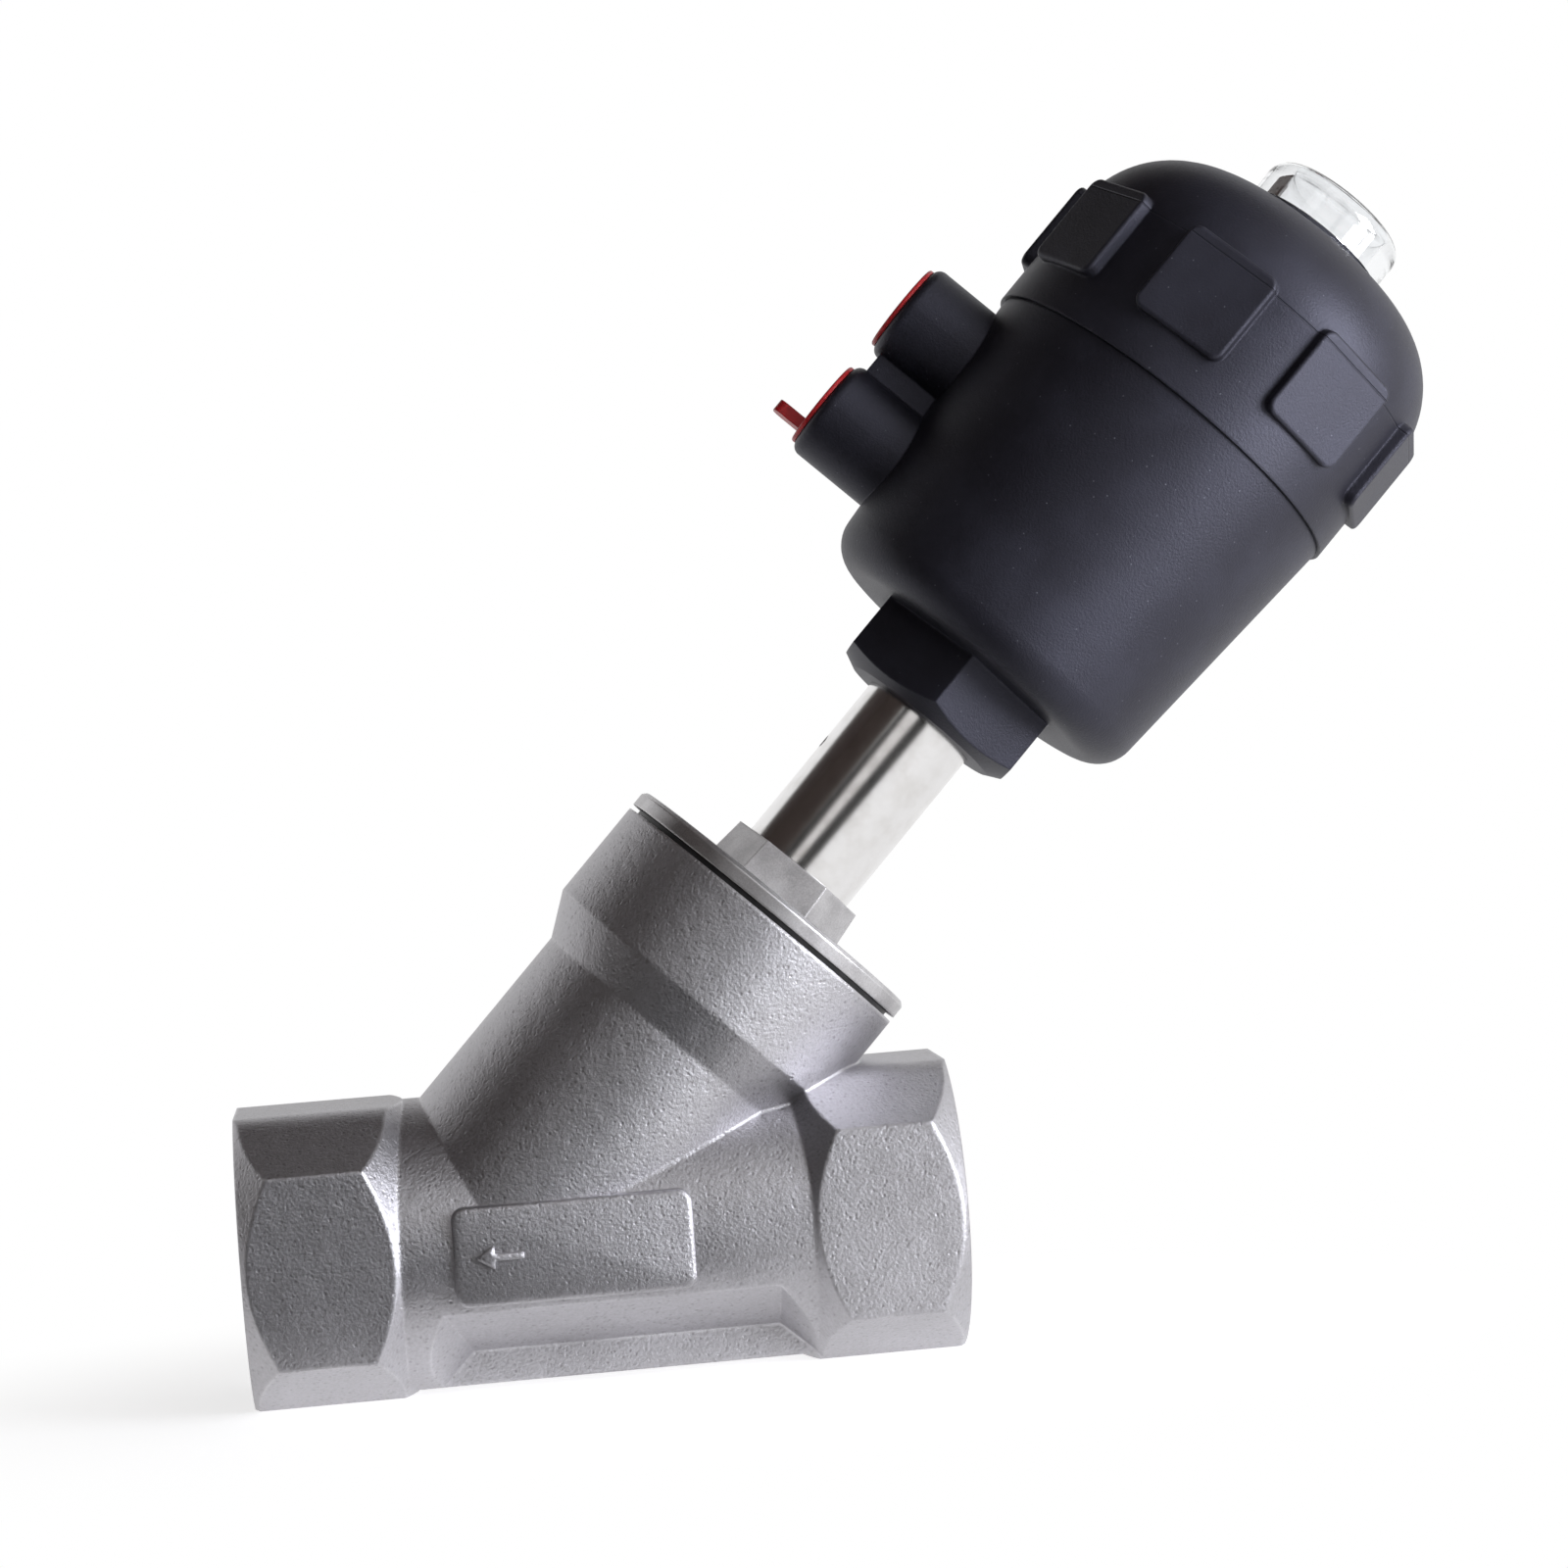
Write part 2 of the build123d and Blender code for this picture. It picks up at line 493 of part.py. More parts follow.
def packing_gland():
    """Make the upper adapter between the V-rings and the foot of the tube."""
    return on_bonnet(packing_ring(GLAND_LEVEL, BONNET_HEX_LEVEL, 0, V_RING_ANGLE_DROP))


def upper_guide():
    """Make the bush that guides the stem at the top of the tube."""
    low = UPPER_GUIDE_LEVEL
    return on_bonnet(ring(TUBE_BORE_RADIUS, STEM_HOLE_RADIUS, low, low + UPPER_GUIDE_LENGTH))


def rod_seal():
    """Make the lip seal that keeps the actuator's air out of the tube."""
    low = ROD_SEAL_LEVEL
    high = ROD_WASHER_LEVEL
    middle = (TUBE_BORE_RADIUS + STEM_HOLE_RADIUS) / 2
    return on_bonnet(turned((STEM_HOLE_RADIUS, low), (TUBE_BORE_RADIUS, low), (TUBE_BORE_RADIUS, high),
                            (middle, high - ROD_SEAL_LIP), (STEM_HOLE_RADIUS, high)))


def rod_seal_washer():
    """Make the washer that backs the lip seal."""
    low = ROD_WASHER_LEVEL
    return on_bonnet(ring(TUBE_BORE_RADIUS, STEM_HOLE_RADIUS, low, low + ROD_WASHER_THICKNESS))


def rod_seal_circlip():
    """Make the inside circlip that holds the lip seal in the tube."""
    inner = (TUBE_BORE_RADIUS + STEM_HOLE_RADIUS) / 2
    return on_bonnet(circlip(TUBE_BORE_RADIUS + CIRCLIP_DEPTH, inner, ROD_CIRCLIP_LEVEL))


def thrust_washer():
    """Make the washer between the housing floor and its circlip."""
    low = CYLINDER_FLOOR_LEVEL + 2 * SWIVEL_FIT
    outer = TUBE_NECK_RADIUS + SWIVEL_RING_SECTION + CIRCLIP_THICKNESS
    return on_bonnet(ring(outer, TUBE_NECK_RADIUS + SWIVEL_FIT, low, low + ROD_WASHER_THICKNESS))


def housing_circlip():
    """Make the outside circlip that keeps the actuator on the tube."""
    inner = TUBE_NECK_RADIUS - CIRCLIP_DEPTH
    return on_bonnet(circlip(TUBE_NECK_RADIUS + SWIVEL_RING_SECTION, inner, HOUSING_CIRCLIP_LEVEL))


# ---- stem train -------------------------------------------------------------------------
def stem():
    """Make the stem, stepped down to a thread at each end."""
    foot = DISC_LEVEL - CLAMP_THICKNESS - STEM_NUT_HEIGHT - STEM_THREAD_RUNOUT
    head = PISTON_NUT_TOP_LEVEL + STEM_THREAD_RUNOUT
    return on_bonnet(turned((0, foot), (STEM_THREAD_RADIUS, foot), (STEM_THREAD_RADIUS, DISC_PLATE_LEVEL),
                            (STEM_RADIUS, DISC_PLATE_LEVEL), (STEM_RADIUS, PISTON_LEVEL),
                            (STEM_THREAD_RADIUS, PISTON_LEVEL), (STEM_THREAD_RADIUS, head), (0, head)))


def disc():
    """Make the disc: a plate with a hub for the stem and a skirt round the soft seal."""
    top = DISC_PLATE_LEVEL + DISC_PLATE_THICKNESS
    hub_top = DISC_PLATE_LEVEL + DISC_HUB_HEIGHT
    skirt = DISC_PLATE_LEVEL - DISC_SKIRT_HEIGHT
    return on_bonnet(turned(
        (STEM_THREAD_RADIUS, DISC_LEVEL), (DISC_SEAL_BORE_RADIUS, DISC_LEVEL),
        (DISC_SEAL_BORE_RADIUS, DISC_PLATE_LEVEL), (DISC_SEAL_RADIUS, DISC_PLATE_LEVEL),
        (DISC_SEAL_RADIUS, skirt), (DISC_RADIUS, skirt), (DISC_RADIUS, DISC_PLATE_LEVEL),
        (DISC_HUB_RADIUS, top), (DISC_HUB_RADIUS, hub_top), (STEM_RADIUS, hub_top),
        (STEM_RADIUS, DISC_PLATE_LEVEL), (STEM_THREAD_RADIUS, DISC_PLATE_LEVEL)))


def disc_seal():
    """Make the soft ring that closes on the seat."""
    return on_bonnet(ring(DISC_SEAL_RADIUS, DISC_SEAL_BORE_RADIUS, DISC_LEVEL, DISC_PLATE_LEVEL))


def seal_clamp():
    """Make the washer that clamps the soft ring to the disc."""
    low = DISC_LEVEL - CLAMP_THICKNESS
    edge = CLAMP_THICKNESS / 2
    return on_bonnet(turned((STEM_THREAD_RADIUS, low), (CLAMP_RADIUS - edge, low), (CLAMP_RADIUS, low + edge),
                            (CLAMP_RADIUS, DISC_LEVEL), (STEM_THREAD_RADIUS, DISC_LEVEL)))


def disc_nut():
    """Make the nut that holds disc and clamp on the stem."""
    return on_bonnet(nut(DISC_LEVEL - CLAMP_THICKNESS - STEM_NUT_HEIGHT))


SEAL_GROOVE_LEVEL = PISTON_LEVEL + SEAL_GROOVE_OFFSET
GUIDE_RING_LEVEL = SEAL_GROOVE_LEVEL + SEAL_HEIGHT + SEAL_GROOVE_OFFSET


def piston():
    """Make the piston with its two ring grooves, spring recess and hub."""
    rim = CYLINDER_RADIUS - PISTON_SIDE_GAP
    blank = disc_blank(rim, PISTON_LEVEL, PISTON_TOP_LEVEL)
    blank += disc_blank(PISTON_HUB_RADIUS, PISTON_TOP_LEVEL, PISTON_NUT_LEVEL)
    seal_floor = CYLINDER_RADIUS - SEAL_GROOVE_DEPTH
    guide_floor = CYLINDER_RADIUS - GUIDE_RING_DEPTH
    blank -= ring(CYLINDER_RADIUS, seal_floor, SEAL_GROOVE_LEVEL, SEAL_GROOVE_LEVEL + SEAL_HEIGHT)
    blank -= ring(CYLINDER_RADIUS, guide_floor, GUIDE_RING_LEVEL, GUIDE_RING_LEVEL + GUIDE_RING_HEIGHT)
    half_recess = SPRING_WIRE / 2 + PISTON_SIDE_GAP
    blank -= ring(SPRING_COIL_RADIUS + half_recess, SPRING_COIL_RADIUS - half_recess,
                  PISTON_TOP_LEVEL - SPRING_RECESS_DEPTH, PISTON_TOP_LEVEL)
    return on_bonnet(blank - disc_blank(STEM_THREAD_RADIUS, PISTON_LEVEL, PISTON_NUT_LEVEL))


def piston_seal():
    """Make the lip seal round the piston."""
    outer = CYLINDER_RADIUS - RUNNING_FIT
    inner = CYLINDER_RADIUS - SEAL_GROOVE_DEPTH
    low = SEAL_GROOVE_LEVEL
    high = low + SEAL_HEIGHT
    middle = (inner + outer) / 2
    return on_bonnet(turned((inner, low), (middle, low + SEAL_HEIGHT / 2), (outer, low), (outer, high - PISTON_SIDE_GAP),
                            (outer - PISTON_SIDE_GAP, high), (inner, high)))


def piston_guide_ring():
    """Make the wear ring that centres the piston."""
    inner = CYLINDER_RADIUS - GUIDE_RING_DEPTH
    return on_bonnet(ring(CYLINDER_RADIUS - RUNNING_FIT, inner, GUIDE_RING_LEVEL,
                          GUIDE_RING_LEVEL + GUIDE_RING_HEIGHT))


def piston_nut():
    """Make the nut that holds the piston on the stem."""
    return on_bonnet(nut(PISTON_NUT_LEVEL))


def position_indicator():
    """Make the rod and button that show the stem's travel under the clear cap."""
    low = PISTON_NUT_TOP_LEVEL
    socket = STEM_THREAD_RADIUS + INDICATOR_SOCKET_WALL
    socket_top = low + 2 * STEM_THREAD_RUNOUT
    top = BUTTON_LEVEL + INDICATOR_BUTTON_THICKNESS
    edge = INDICATOR_BUTTON_THICKNESS / 3
    body = turned((0, low), (socket, low), (socket, socket_top), (INDICATOR_ROD_RADIUS, socket_top + STEM_THREAD_RUNOUT),
                  (INDICATOR_ROD_RADIUS, BUTTON_LEVEL), (INDICATOR_BUTTON_RADIUS, BUTTON_LEVEL),
                  (INDICATOR_BUTTON_RADIUS, top - edge), (INDICATOR_BUTTON_RADIUS - edge, top), (0, top))
    return on_bonnet(body - disc_blank(STEM_THREAD_RADIUS, low, low + STEM_THREAD_RUNOUT))


# ---- actuator ---------------------------------------------------------------------------
def air_boss(level):
    """Make one round air-port boss, pointing along +X."""
    boss = rod_along_x(AIR_BOSS_RADIUS, CYLINDER_RADIUS, AIR_BOSS_REACH)
    return Pos(0, 0, level) * fillet(boss.edges().sort_by(Axis.X)[-1], AIR_BOSS_EDGE)


def air_port(level):
    """Make the cutter of one air port: spotface, threaded hole and drilling to the cylinder."""
    end = AIR_BOSS_REACH
    thread_end = end - AIR_SPOTFACE_DEPTH - AIR_THREAD_DEPTH
    spotface = rod_along_x(AIR_SPOTFACE_RADIUS, end - AIR_SPOTFACE_DEPTH, end)
    thread = rod_along_x(AIR_THREAD_CORE_RADIUS, thread_end, end)
    drilling = rod_along_x(AIR_DRILLING_RADIUS, CYLINDER_RADIUS - AIR_DRILLING_RADIUS, end)
    return Pos(0, 0, level) * (spotface + thread + drilling)


def actuator_housing():
    """Make the moulded cup: hexagon collar, tapered wall, screwed neck and two air bosses."""
    corner = corner_radius(HOUSING_HEX_AF)
    flat = HOUSING_HEX_AF / 2
    collar_shape = turned((0, HOUSING_HEX_LEVEL), (flat - HOUSING_HEX_CHAMFER, HOUSING_HEX_LEVEL),
                          (corner, HOUSING_HEX_LEVEL + HOUSING_HEX_CHAMFER), (corner, CUP_LEVEL), (0, CUP_LEVEL))
    collar = Rot(0, 0, 30) * hexagon(HOUSING_HEX_AF, HOUSING_HEX_LEVEL, CUP_LEVEL) & collar_shape
    cup = turned((0, CUP_LEVEL), (CUP_FOOT_RADIUS, CUP_LEVEL), (CUP_RIM_RADIUS, SEAM_LEVEL), (0, SEAM_LEVEL))
    foot_edge = cup.edges().filter_by(GeomType.CIRCLE).sort_by(Axis.Z)[0]
    cup = fillet(foot_edge, CUP_FOOT_FILLET)
    cup += disc_blank(NECK_RADIUS, SEAM_LEVEL, SEAM_LEVEL + NECK_HEIGHT)
    for level in (LOWER_PORT_LEVEL, UPPER_PORT_LEVEL):
        cup += air_boss(level)
    rib = Box(AIR_BOSS_REACH - BOSS_RIB_SETBACK, BOSS_RIB_THICKNESS, PORT_SPACING / 2,
              align=(Align.MIN, Align.CENTER, Align.CENTER))
    cup += Pos(0, 0, LOWER_PORT_LEVEL + PORT_SPACING / 2) * rib
    housing = collar + cup
    housing -= disc_blank(CYLINDER_RADIUS, CYLINDER_FLOOR_LEVEL, SEAM_LEVEL + NECK_HEIGHT)
    for level in (LOWER_PORT_LEVEL, UPPER_PORT_LEVEL):
        housing -= air_port(level)
    shoulder = TUBE_SHOULDER_LEVEL + SWIVEL_FIT
    housing -= disc_blank(TUBE_RADIUS + SWIVEL_FIT, HOUSING_HEX_LEVEL, shoulder)
    housing -= disc_blank(TUBE_NECK_RADIUS + SWIVEL_FIT, shoulder, CYLINDER_FLOOR_LEVEL)
    housing -= o_ring_groove(TUBE_NECK_RADIUS, SWIVEL_RING_SECTION, SWIVEL_RING_LEVEL,
                             SWIVEL_RING_SECTION + SWIVEL_FIT + O_RING_GAP)
    cover_groove_floor = NECK_RADIUS - COVER_RING_SECTION
    housing -= o_ring_groove(cover_groove_floor, COVER_RING_SECTION, COVER_RING_LEVEL,
                             COVER_RING_SECTION + COVER_THREAD_GAP)
    return on_actuator(housing)


def swivel_o_ring():
    """Make the O-ring between housing and tube."""
    return on_actuator(o_ring(TUBE_NECK_RADIUS + O_RING_GAP, SWIVEL_RING_SECTION, SWIVEL_RING_LEVEL))


def cover_o_ring():
    """Make the O-ring between housing neck and cover."""
    return on_actuator(o_ring(NECK_RADIUS - COVER_RING_SECTION, COVER_RING_SECTION, COVER_RING_LEVEL))


def indicator_o_ring():
    """Make the O-ring round the indicator rod in the cover."""
    return on_actuator(o_ring(INDICATOR_ROD_RADIUS + O_RING_GAP, INDICATOR_RING_SECTION, INDICATOR_RING_LEVEL))


def dome_section(wall_radius, low, floor_radius, dome_radius):
    """Make half the section of a domed cup, from its axis out to its wall."""
    top = COVER_SHOULDER_LEVEL + dome_radius
    diagonal = dome_radius / sqrt(2)
    knee = (DOME_CENTRE_RADIUS + diagonal, 0, COVER_SHOULDER_LEVEL + diagonal)
    outline = [
        Line((0, 0, low), (floor_radius, 0, low)),
        Line((floor_radius, 0, low), (wall_radius, 0, COVER_SHOULDER_LEVEL)),
        ThreePointArc((wall_radius, 0, COVER_SHOULDER_LEVEL), knee, (DOME_CENTRE_RADIUS, 0, top)),
        Line((DOME_CENTRE_RADIUS, 0, top), (0, 0, top)),
        Line((0, 0, top), (0, 0, low)),
    ]
    return make_face(outline)


def pad(index):
    """Make one raised grip pad, flat on the round cover, with rounded corners and edges."""
    block = Box(PAD_DEPTH, PAD_WIDTH, PAD_HEIGHT, align=(Align.MAX, Align.CENTER, Align.MIN))
    block = fillet(block.edges().filter_by(Axis.X), PAD_CORNER)
    block = fillet(block.faces().sort_by(Axis.X)[-1].edges(), PAD_EDGE)
    angle = (index + 0.5) * 360 / PAD_COUNT
    return Rot(0, 0, angle) * Pos(COVER_RADIUS + PAD_RELIEF, 0, PAD_START_LEVEL) * block


def cover():
    """Make the screwed cover: domed shell with eight pads, crown ring and spring guide."""
    outside = revolve(dome_section(COVER_RADIUS, SEAM_LEVEL, COVER_RADIUS, COVER_DOME_RADIUS), Axis.Z)
    inner_wall = COVER_RADIUS - COVER_WALL
    hollow = revolve(dome_section(inner_wall, SEAM_LEVEL, inner_wall, COVER_DOME_RADIUS - COVER_WALL), Axis.Z)
    crown_low = CEILING_LEVEL
    edge = CROWN_RING_EDGE
    crown_ring = turned((0, crown_low), (CROWN_RING_RADIUS, crown_low), (CROWN_RING_RADIUS, CROWN_RING_LEVEL - edge),
                        (CROWN_RING_RADIUS - edge, CROWN_RING_LEVEL), (0, CROWN_RING_LEVEL))
    shell = outside + crown_ring
    for index in range(PAD_COUNT):
        shell += pad(index)
    shell -= hollow
    shell += disc_blank(SPRING_GUIDE_RADIUS, SPRING_GUIDE_LEVEL, SIGHT_FLOOR_LEVEL + COVER_WALL)
    shell -= disc_blank(NECK_RADIUS + COVER_THREAD_GAP, SEAM_LEVEL, SEAM_LEVEL + NECK_HEIGHT + COVER_THREAD_GAP)
    shell -= disc_blank(SIGHT_BORE_RADIUS, SIGHT_FLOOR_LEVEL, CROWN_RING_LEVEL)
    shell -= disc_blank(INDICATOR_HOLE_RADIUS, SPRING_GUIDE_LEVEL, SIGHT_FLOOR_LEVEL)
    shell -= o_ring_groove(INDICATOR_ROD_RADIUS, INDICATOR_RING_SECTION, INDICATOR_RING_LEVEL,
                           INDICATOR_RING_SECTION + 3 * O_RING_GAP)
    return on_actuator(Rot(0, 0, COVER_TURN) * shell)


def clear_cap():
    """Make the clear sight cap, a crowned cup that plugs into the crown ring."""
    spigot = SIGHT_BORE_RADIUS - O_RING_GAP
    foot = CROWN_RING_LEVEL - CAP_SPIGOT_LENGTH
    side_top = CAP_TOP_LEVEL - CAP_CROWN - CAP_CORNER_RADIUS
    corner = CAP_RADIUS - CAP_CORNER_RADIUS
    knee = CAP_CORNER_RADIUS / sqrt(2)
    corner_top = side_top + CAP_CORNER_RADIUS
    inner = spigot - CAP_WALL
    inner_top = CAP_CEILING_LEVEL
    outline = [
        Polyline((0, 0, inner_top), (inner, 0, inner_top), (inner, 0, foot), (spigot, 0, foot),
                 (spigot, 0, CROWN_RING_LEVEL), (CAP_RADIUS, 0, CROWN_RING_LEVEL), (CAP_RADIUS, 0, side_top)),
        ThreePointArc((CAP_RADIUS, 0, side_top), (corner + knee, 0, side_top + knee), (corner, 0, corner_top)),
        TangentArc((0, 0, CAP_TOP_LEVEL), (corner, 0, corner_top), tangent=(1, 0, 0)),
        Line((0, 0, CAP_TOP_LEVEL), (0, 0, inner_top)),
    ]
    return on_actuator(revolve(make_face(outline), Axis.Z))


def return_spring():
    """Make the spring that closes the valve, between piston and cover."""
    low = PISTON_TOP_LEVEL - SPRING_RECESS_DEPTH + SPRING_SEAT_GAP
    high = CEILING_LEVEL - SPRING_SEAT_GAP
    return on_actuator(coil(SPRING_COIL_RADIUS, SPRING_WIRE, low, high, SPRING_TURNS))


def transport_plug(level, with_tab):
    """Make the push-in plug of one air port, some with a pull tab."""
    end = AIR_BOSS_REACH
    shank_radius = AIR_SPOTFACE_RADIUS - RUNNING_FIT
    head = rod_along_x(PLUG_HEAD_RADIUS, end, end + PLUG_HEAD_THICKNESS)
    head = fillet(head.edges().sort_by(Axis.X)[-1], PLUG_HEAD_THICKNESS / 2)
    shank = rod_along_x(shank_radius, end - PLUG_SHANK_LENGTH, end)
    hollow = rod_along_x(shank_radius - PLUG_WALL, end - PLUG_SHANK_LENGTH, end)
    plug = head + (shank - hollow)
    if with_tab:
        tab = Box(PLUG_TAB_LENGTH, PLUG_TAB_WIDTH, PLUG_TAB_THICKNESS, align=(Align.MIN, Align.CENTER, Align.CENTER))
        tab = fillet(tab.edges().filter_by(Axis.Z).group_by(Axis.X)[-1], PLUG_TAB_WIDTH / 3)
        plug += Pos(end + PLUG_HEAD_THICKNESS / 2, 0, -PLUG_TAB_OFFSET) * tab
    return on_actuator(Pos(0, 0, level) * plug)


def lower_port_plug():
    """Make the plug of the lower air port, which has a pull tab."""
    return transport_plug(LOWER_PORT_LEVEL, True)


def upper_port_plug():
    """Make the plug of the upper air port."""
    return transport_plug(UPPER_PORT_LEVEL, False)


SUB_PARTS = (
    valve_body, bonnet_gasket, bonnet, bonnet_tube, lower_guide, packing_spring, packing_washer,
    v_rings, packing_gland, upper_guide, rod_seal, rod_seal_washer, rod_seal_circlip,
    thrust_washer, housing_circlip, stem, disc, disc_seal, seal_clamp, disc_nut, piston,
    piston_seal, piston_guide_ring, piston_nut, position_indicator, actuator_housing,
    swivel_o_ring, cover_o_ring, indicator_o_ring, cover, clear_cap, return_spring,
    lower_port_plug, upper_port_plug,
)

os.makedirs("parts", exist_ok=True)
for make_part in SUB_PARTS:
    export_step(make_part(), f"parts/{make_part.__name__}.step")
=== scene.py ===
"""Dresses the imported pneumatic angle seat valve: finishes, threads, cast marks, studio and camera."""

import json
import logging
import math
from dataclasses import dataclass
from enum import Enum
from typing import Any, Sequence

import bmesh
import bpy
from mathutils import Matrix, Vector


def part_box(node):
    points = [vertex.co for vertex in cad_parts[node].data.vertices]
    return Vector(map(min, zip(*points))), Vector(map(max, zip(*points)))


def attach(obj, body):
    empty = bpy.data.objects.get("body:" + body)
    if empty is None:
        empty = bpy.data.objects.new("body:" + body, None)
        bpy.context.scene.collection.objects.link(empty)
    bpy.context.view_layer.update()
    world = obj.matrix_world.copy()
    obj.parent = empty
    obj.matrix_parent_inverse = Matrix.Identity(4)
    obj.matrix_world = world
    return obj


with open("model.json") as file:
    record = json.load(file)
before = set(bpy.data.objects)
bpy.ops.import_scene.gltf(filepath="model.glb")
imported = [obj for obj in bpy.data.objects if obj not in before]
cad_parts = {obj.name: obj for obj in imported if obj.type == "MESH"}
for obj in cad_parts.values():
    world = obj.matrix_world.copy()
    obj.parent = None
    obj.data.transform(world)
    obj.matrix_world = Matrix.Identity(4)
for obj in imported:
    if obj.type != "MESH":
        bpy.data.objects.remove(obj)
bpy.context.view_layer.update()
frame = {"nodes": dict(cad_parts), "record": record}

log = logging.getLogger("angle_seat_valve")

MM = 0.001
RECORD: dict[str, Any] = frame["record"]
JOINTS: dict[str, dict[str, Any]] = {joint["name"]: joint for joint in RECORD["behaviour"]["joints"]}
Colour = tuple[float, float, float]
Point = tuple[float, float, float]


# ---- shader writing -----------------------------------------------------------------------
class Sock:
    """A shader socket or number that can be used in Python arithmetic."""

    def __init__(self, tree: "Tree", value: Any) -> None:
        """Wraps an output socket or a plain number.

        Args:
            tree: The node tree that takes the Math nodes.
            value: An output socket, or a number.
        """
        self.tree = tree
        self.value = value

    def _math(self, operation: str, *others: Any) -> "Sock":
        """Adds one Math node.

        Args:
            operation: The Math node's operation.
            others: The operands that follow this one.

        Returns:
            The node's result.
        """
        return self.tree.node("ShaderNodeMath", {"operation": operation}, {0: self, **{
            index + 1: other for index, other in enumerate(others)}})

    def __add__(self, other: Any) -> "Sock":
        """Adds."""
        return self._math("ADD", other)

    __radd__ = __add__

    def __sub__(self, other: Any) -> "Sock":
        """Subtracts."""
        return self._math("SUBTRACT", other)

    def __rsub__(self, other: Any) -> "Sock":
        """Subtracts this from a number."""
        return Sock(self.tree, other)._math("SUBTRACT", self)

    def __mul__(self, other: Any) -> "Sock":
        """Multiplies."""
        return self._math("MULTIPLY", other)

    __rmul__ = __mul__

    def __truediv__(self, other: Any) -> "Sock":
        """Divides."""
        return self._math("DIVIDE", other)

    def __pow__(self, other: Any) -> "Sock":
        """Raises to a power."""
        return self._math("POWER", other)

    def __abs__(self) -> "Sock":
        """Drops the sign."""
        return self._math("ABSOLUTE")

    def at_least(self, low: float) -> "Sock":
        """Keeps the value from falling below a number."""
        return self._math("MAXIMUM", low)

    def clamp(self) -> "Sock":
        """Keeps the value between 0 and 1."""
        return self.at_least(0.0)._math("MINIMUM", 1.0)

    def step_up(self, low: float, high: float) -> "Sock":
        """Rises smoothly from 0 at low to 1 at high.

        Args:
            low: Where the rise starts.
            high: Where it ends.

        Returns:
            The smooth step.
        """
        return self.tree.node("ShaderNodeMapRange", {"interpolation_type": "SMOOTHSTEP"},
                              {"Value": self, "From Min": low, "From Max": high})


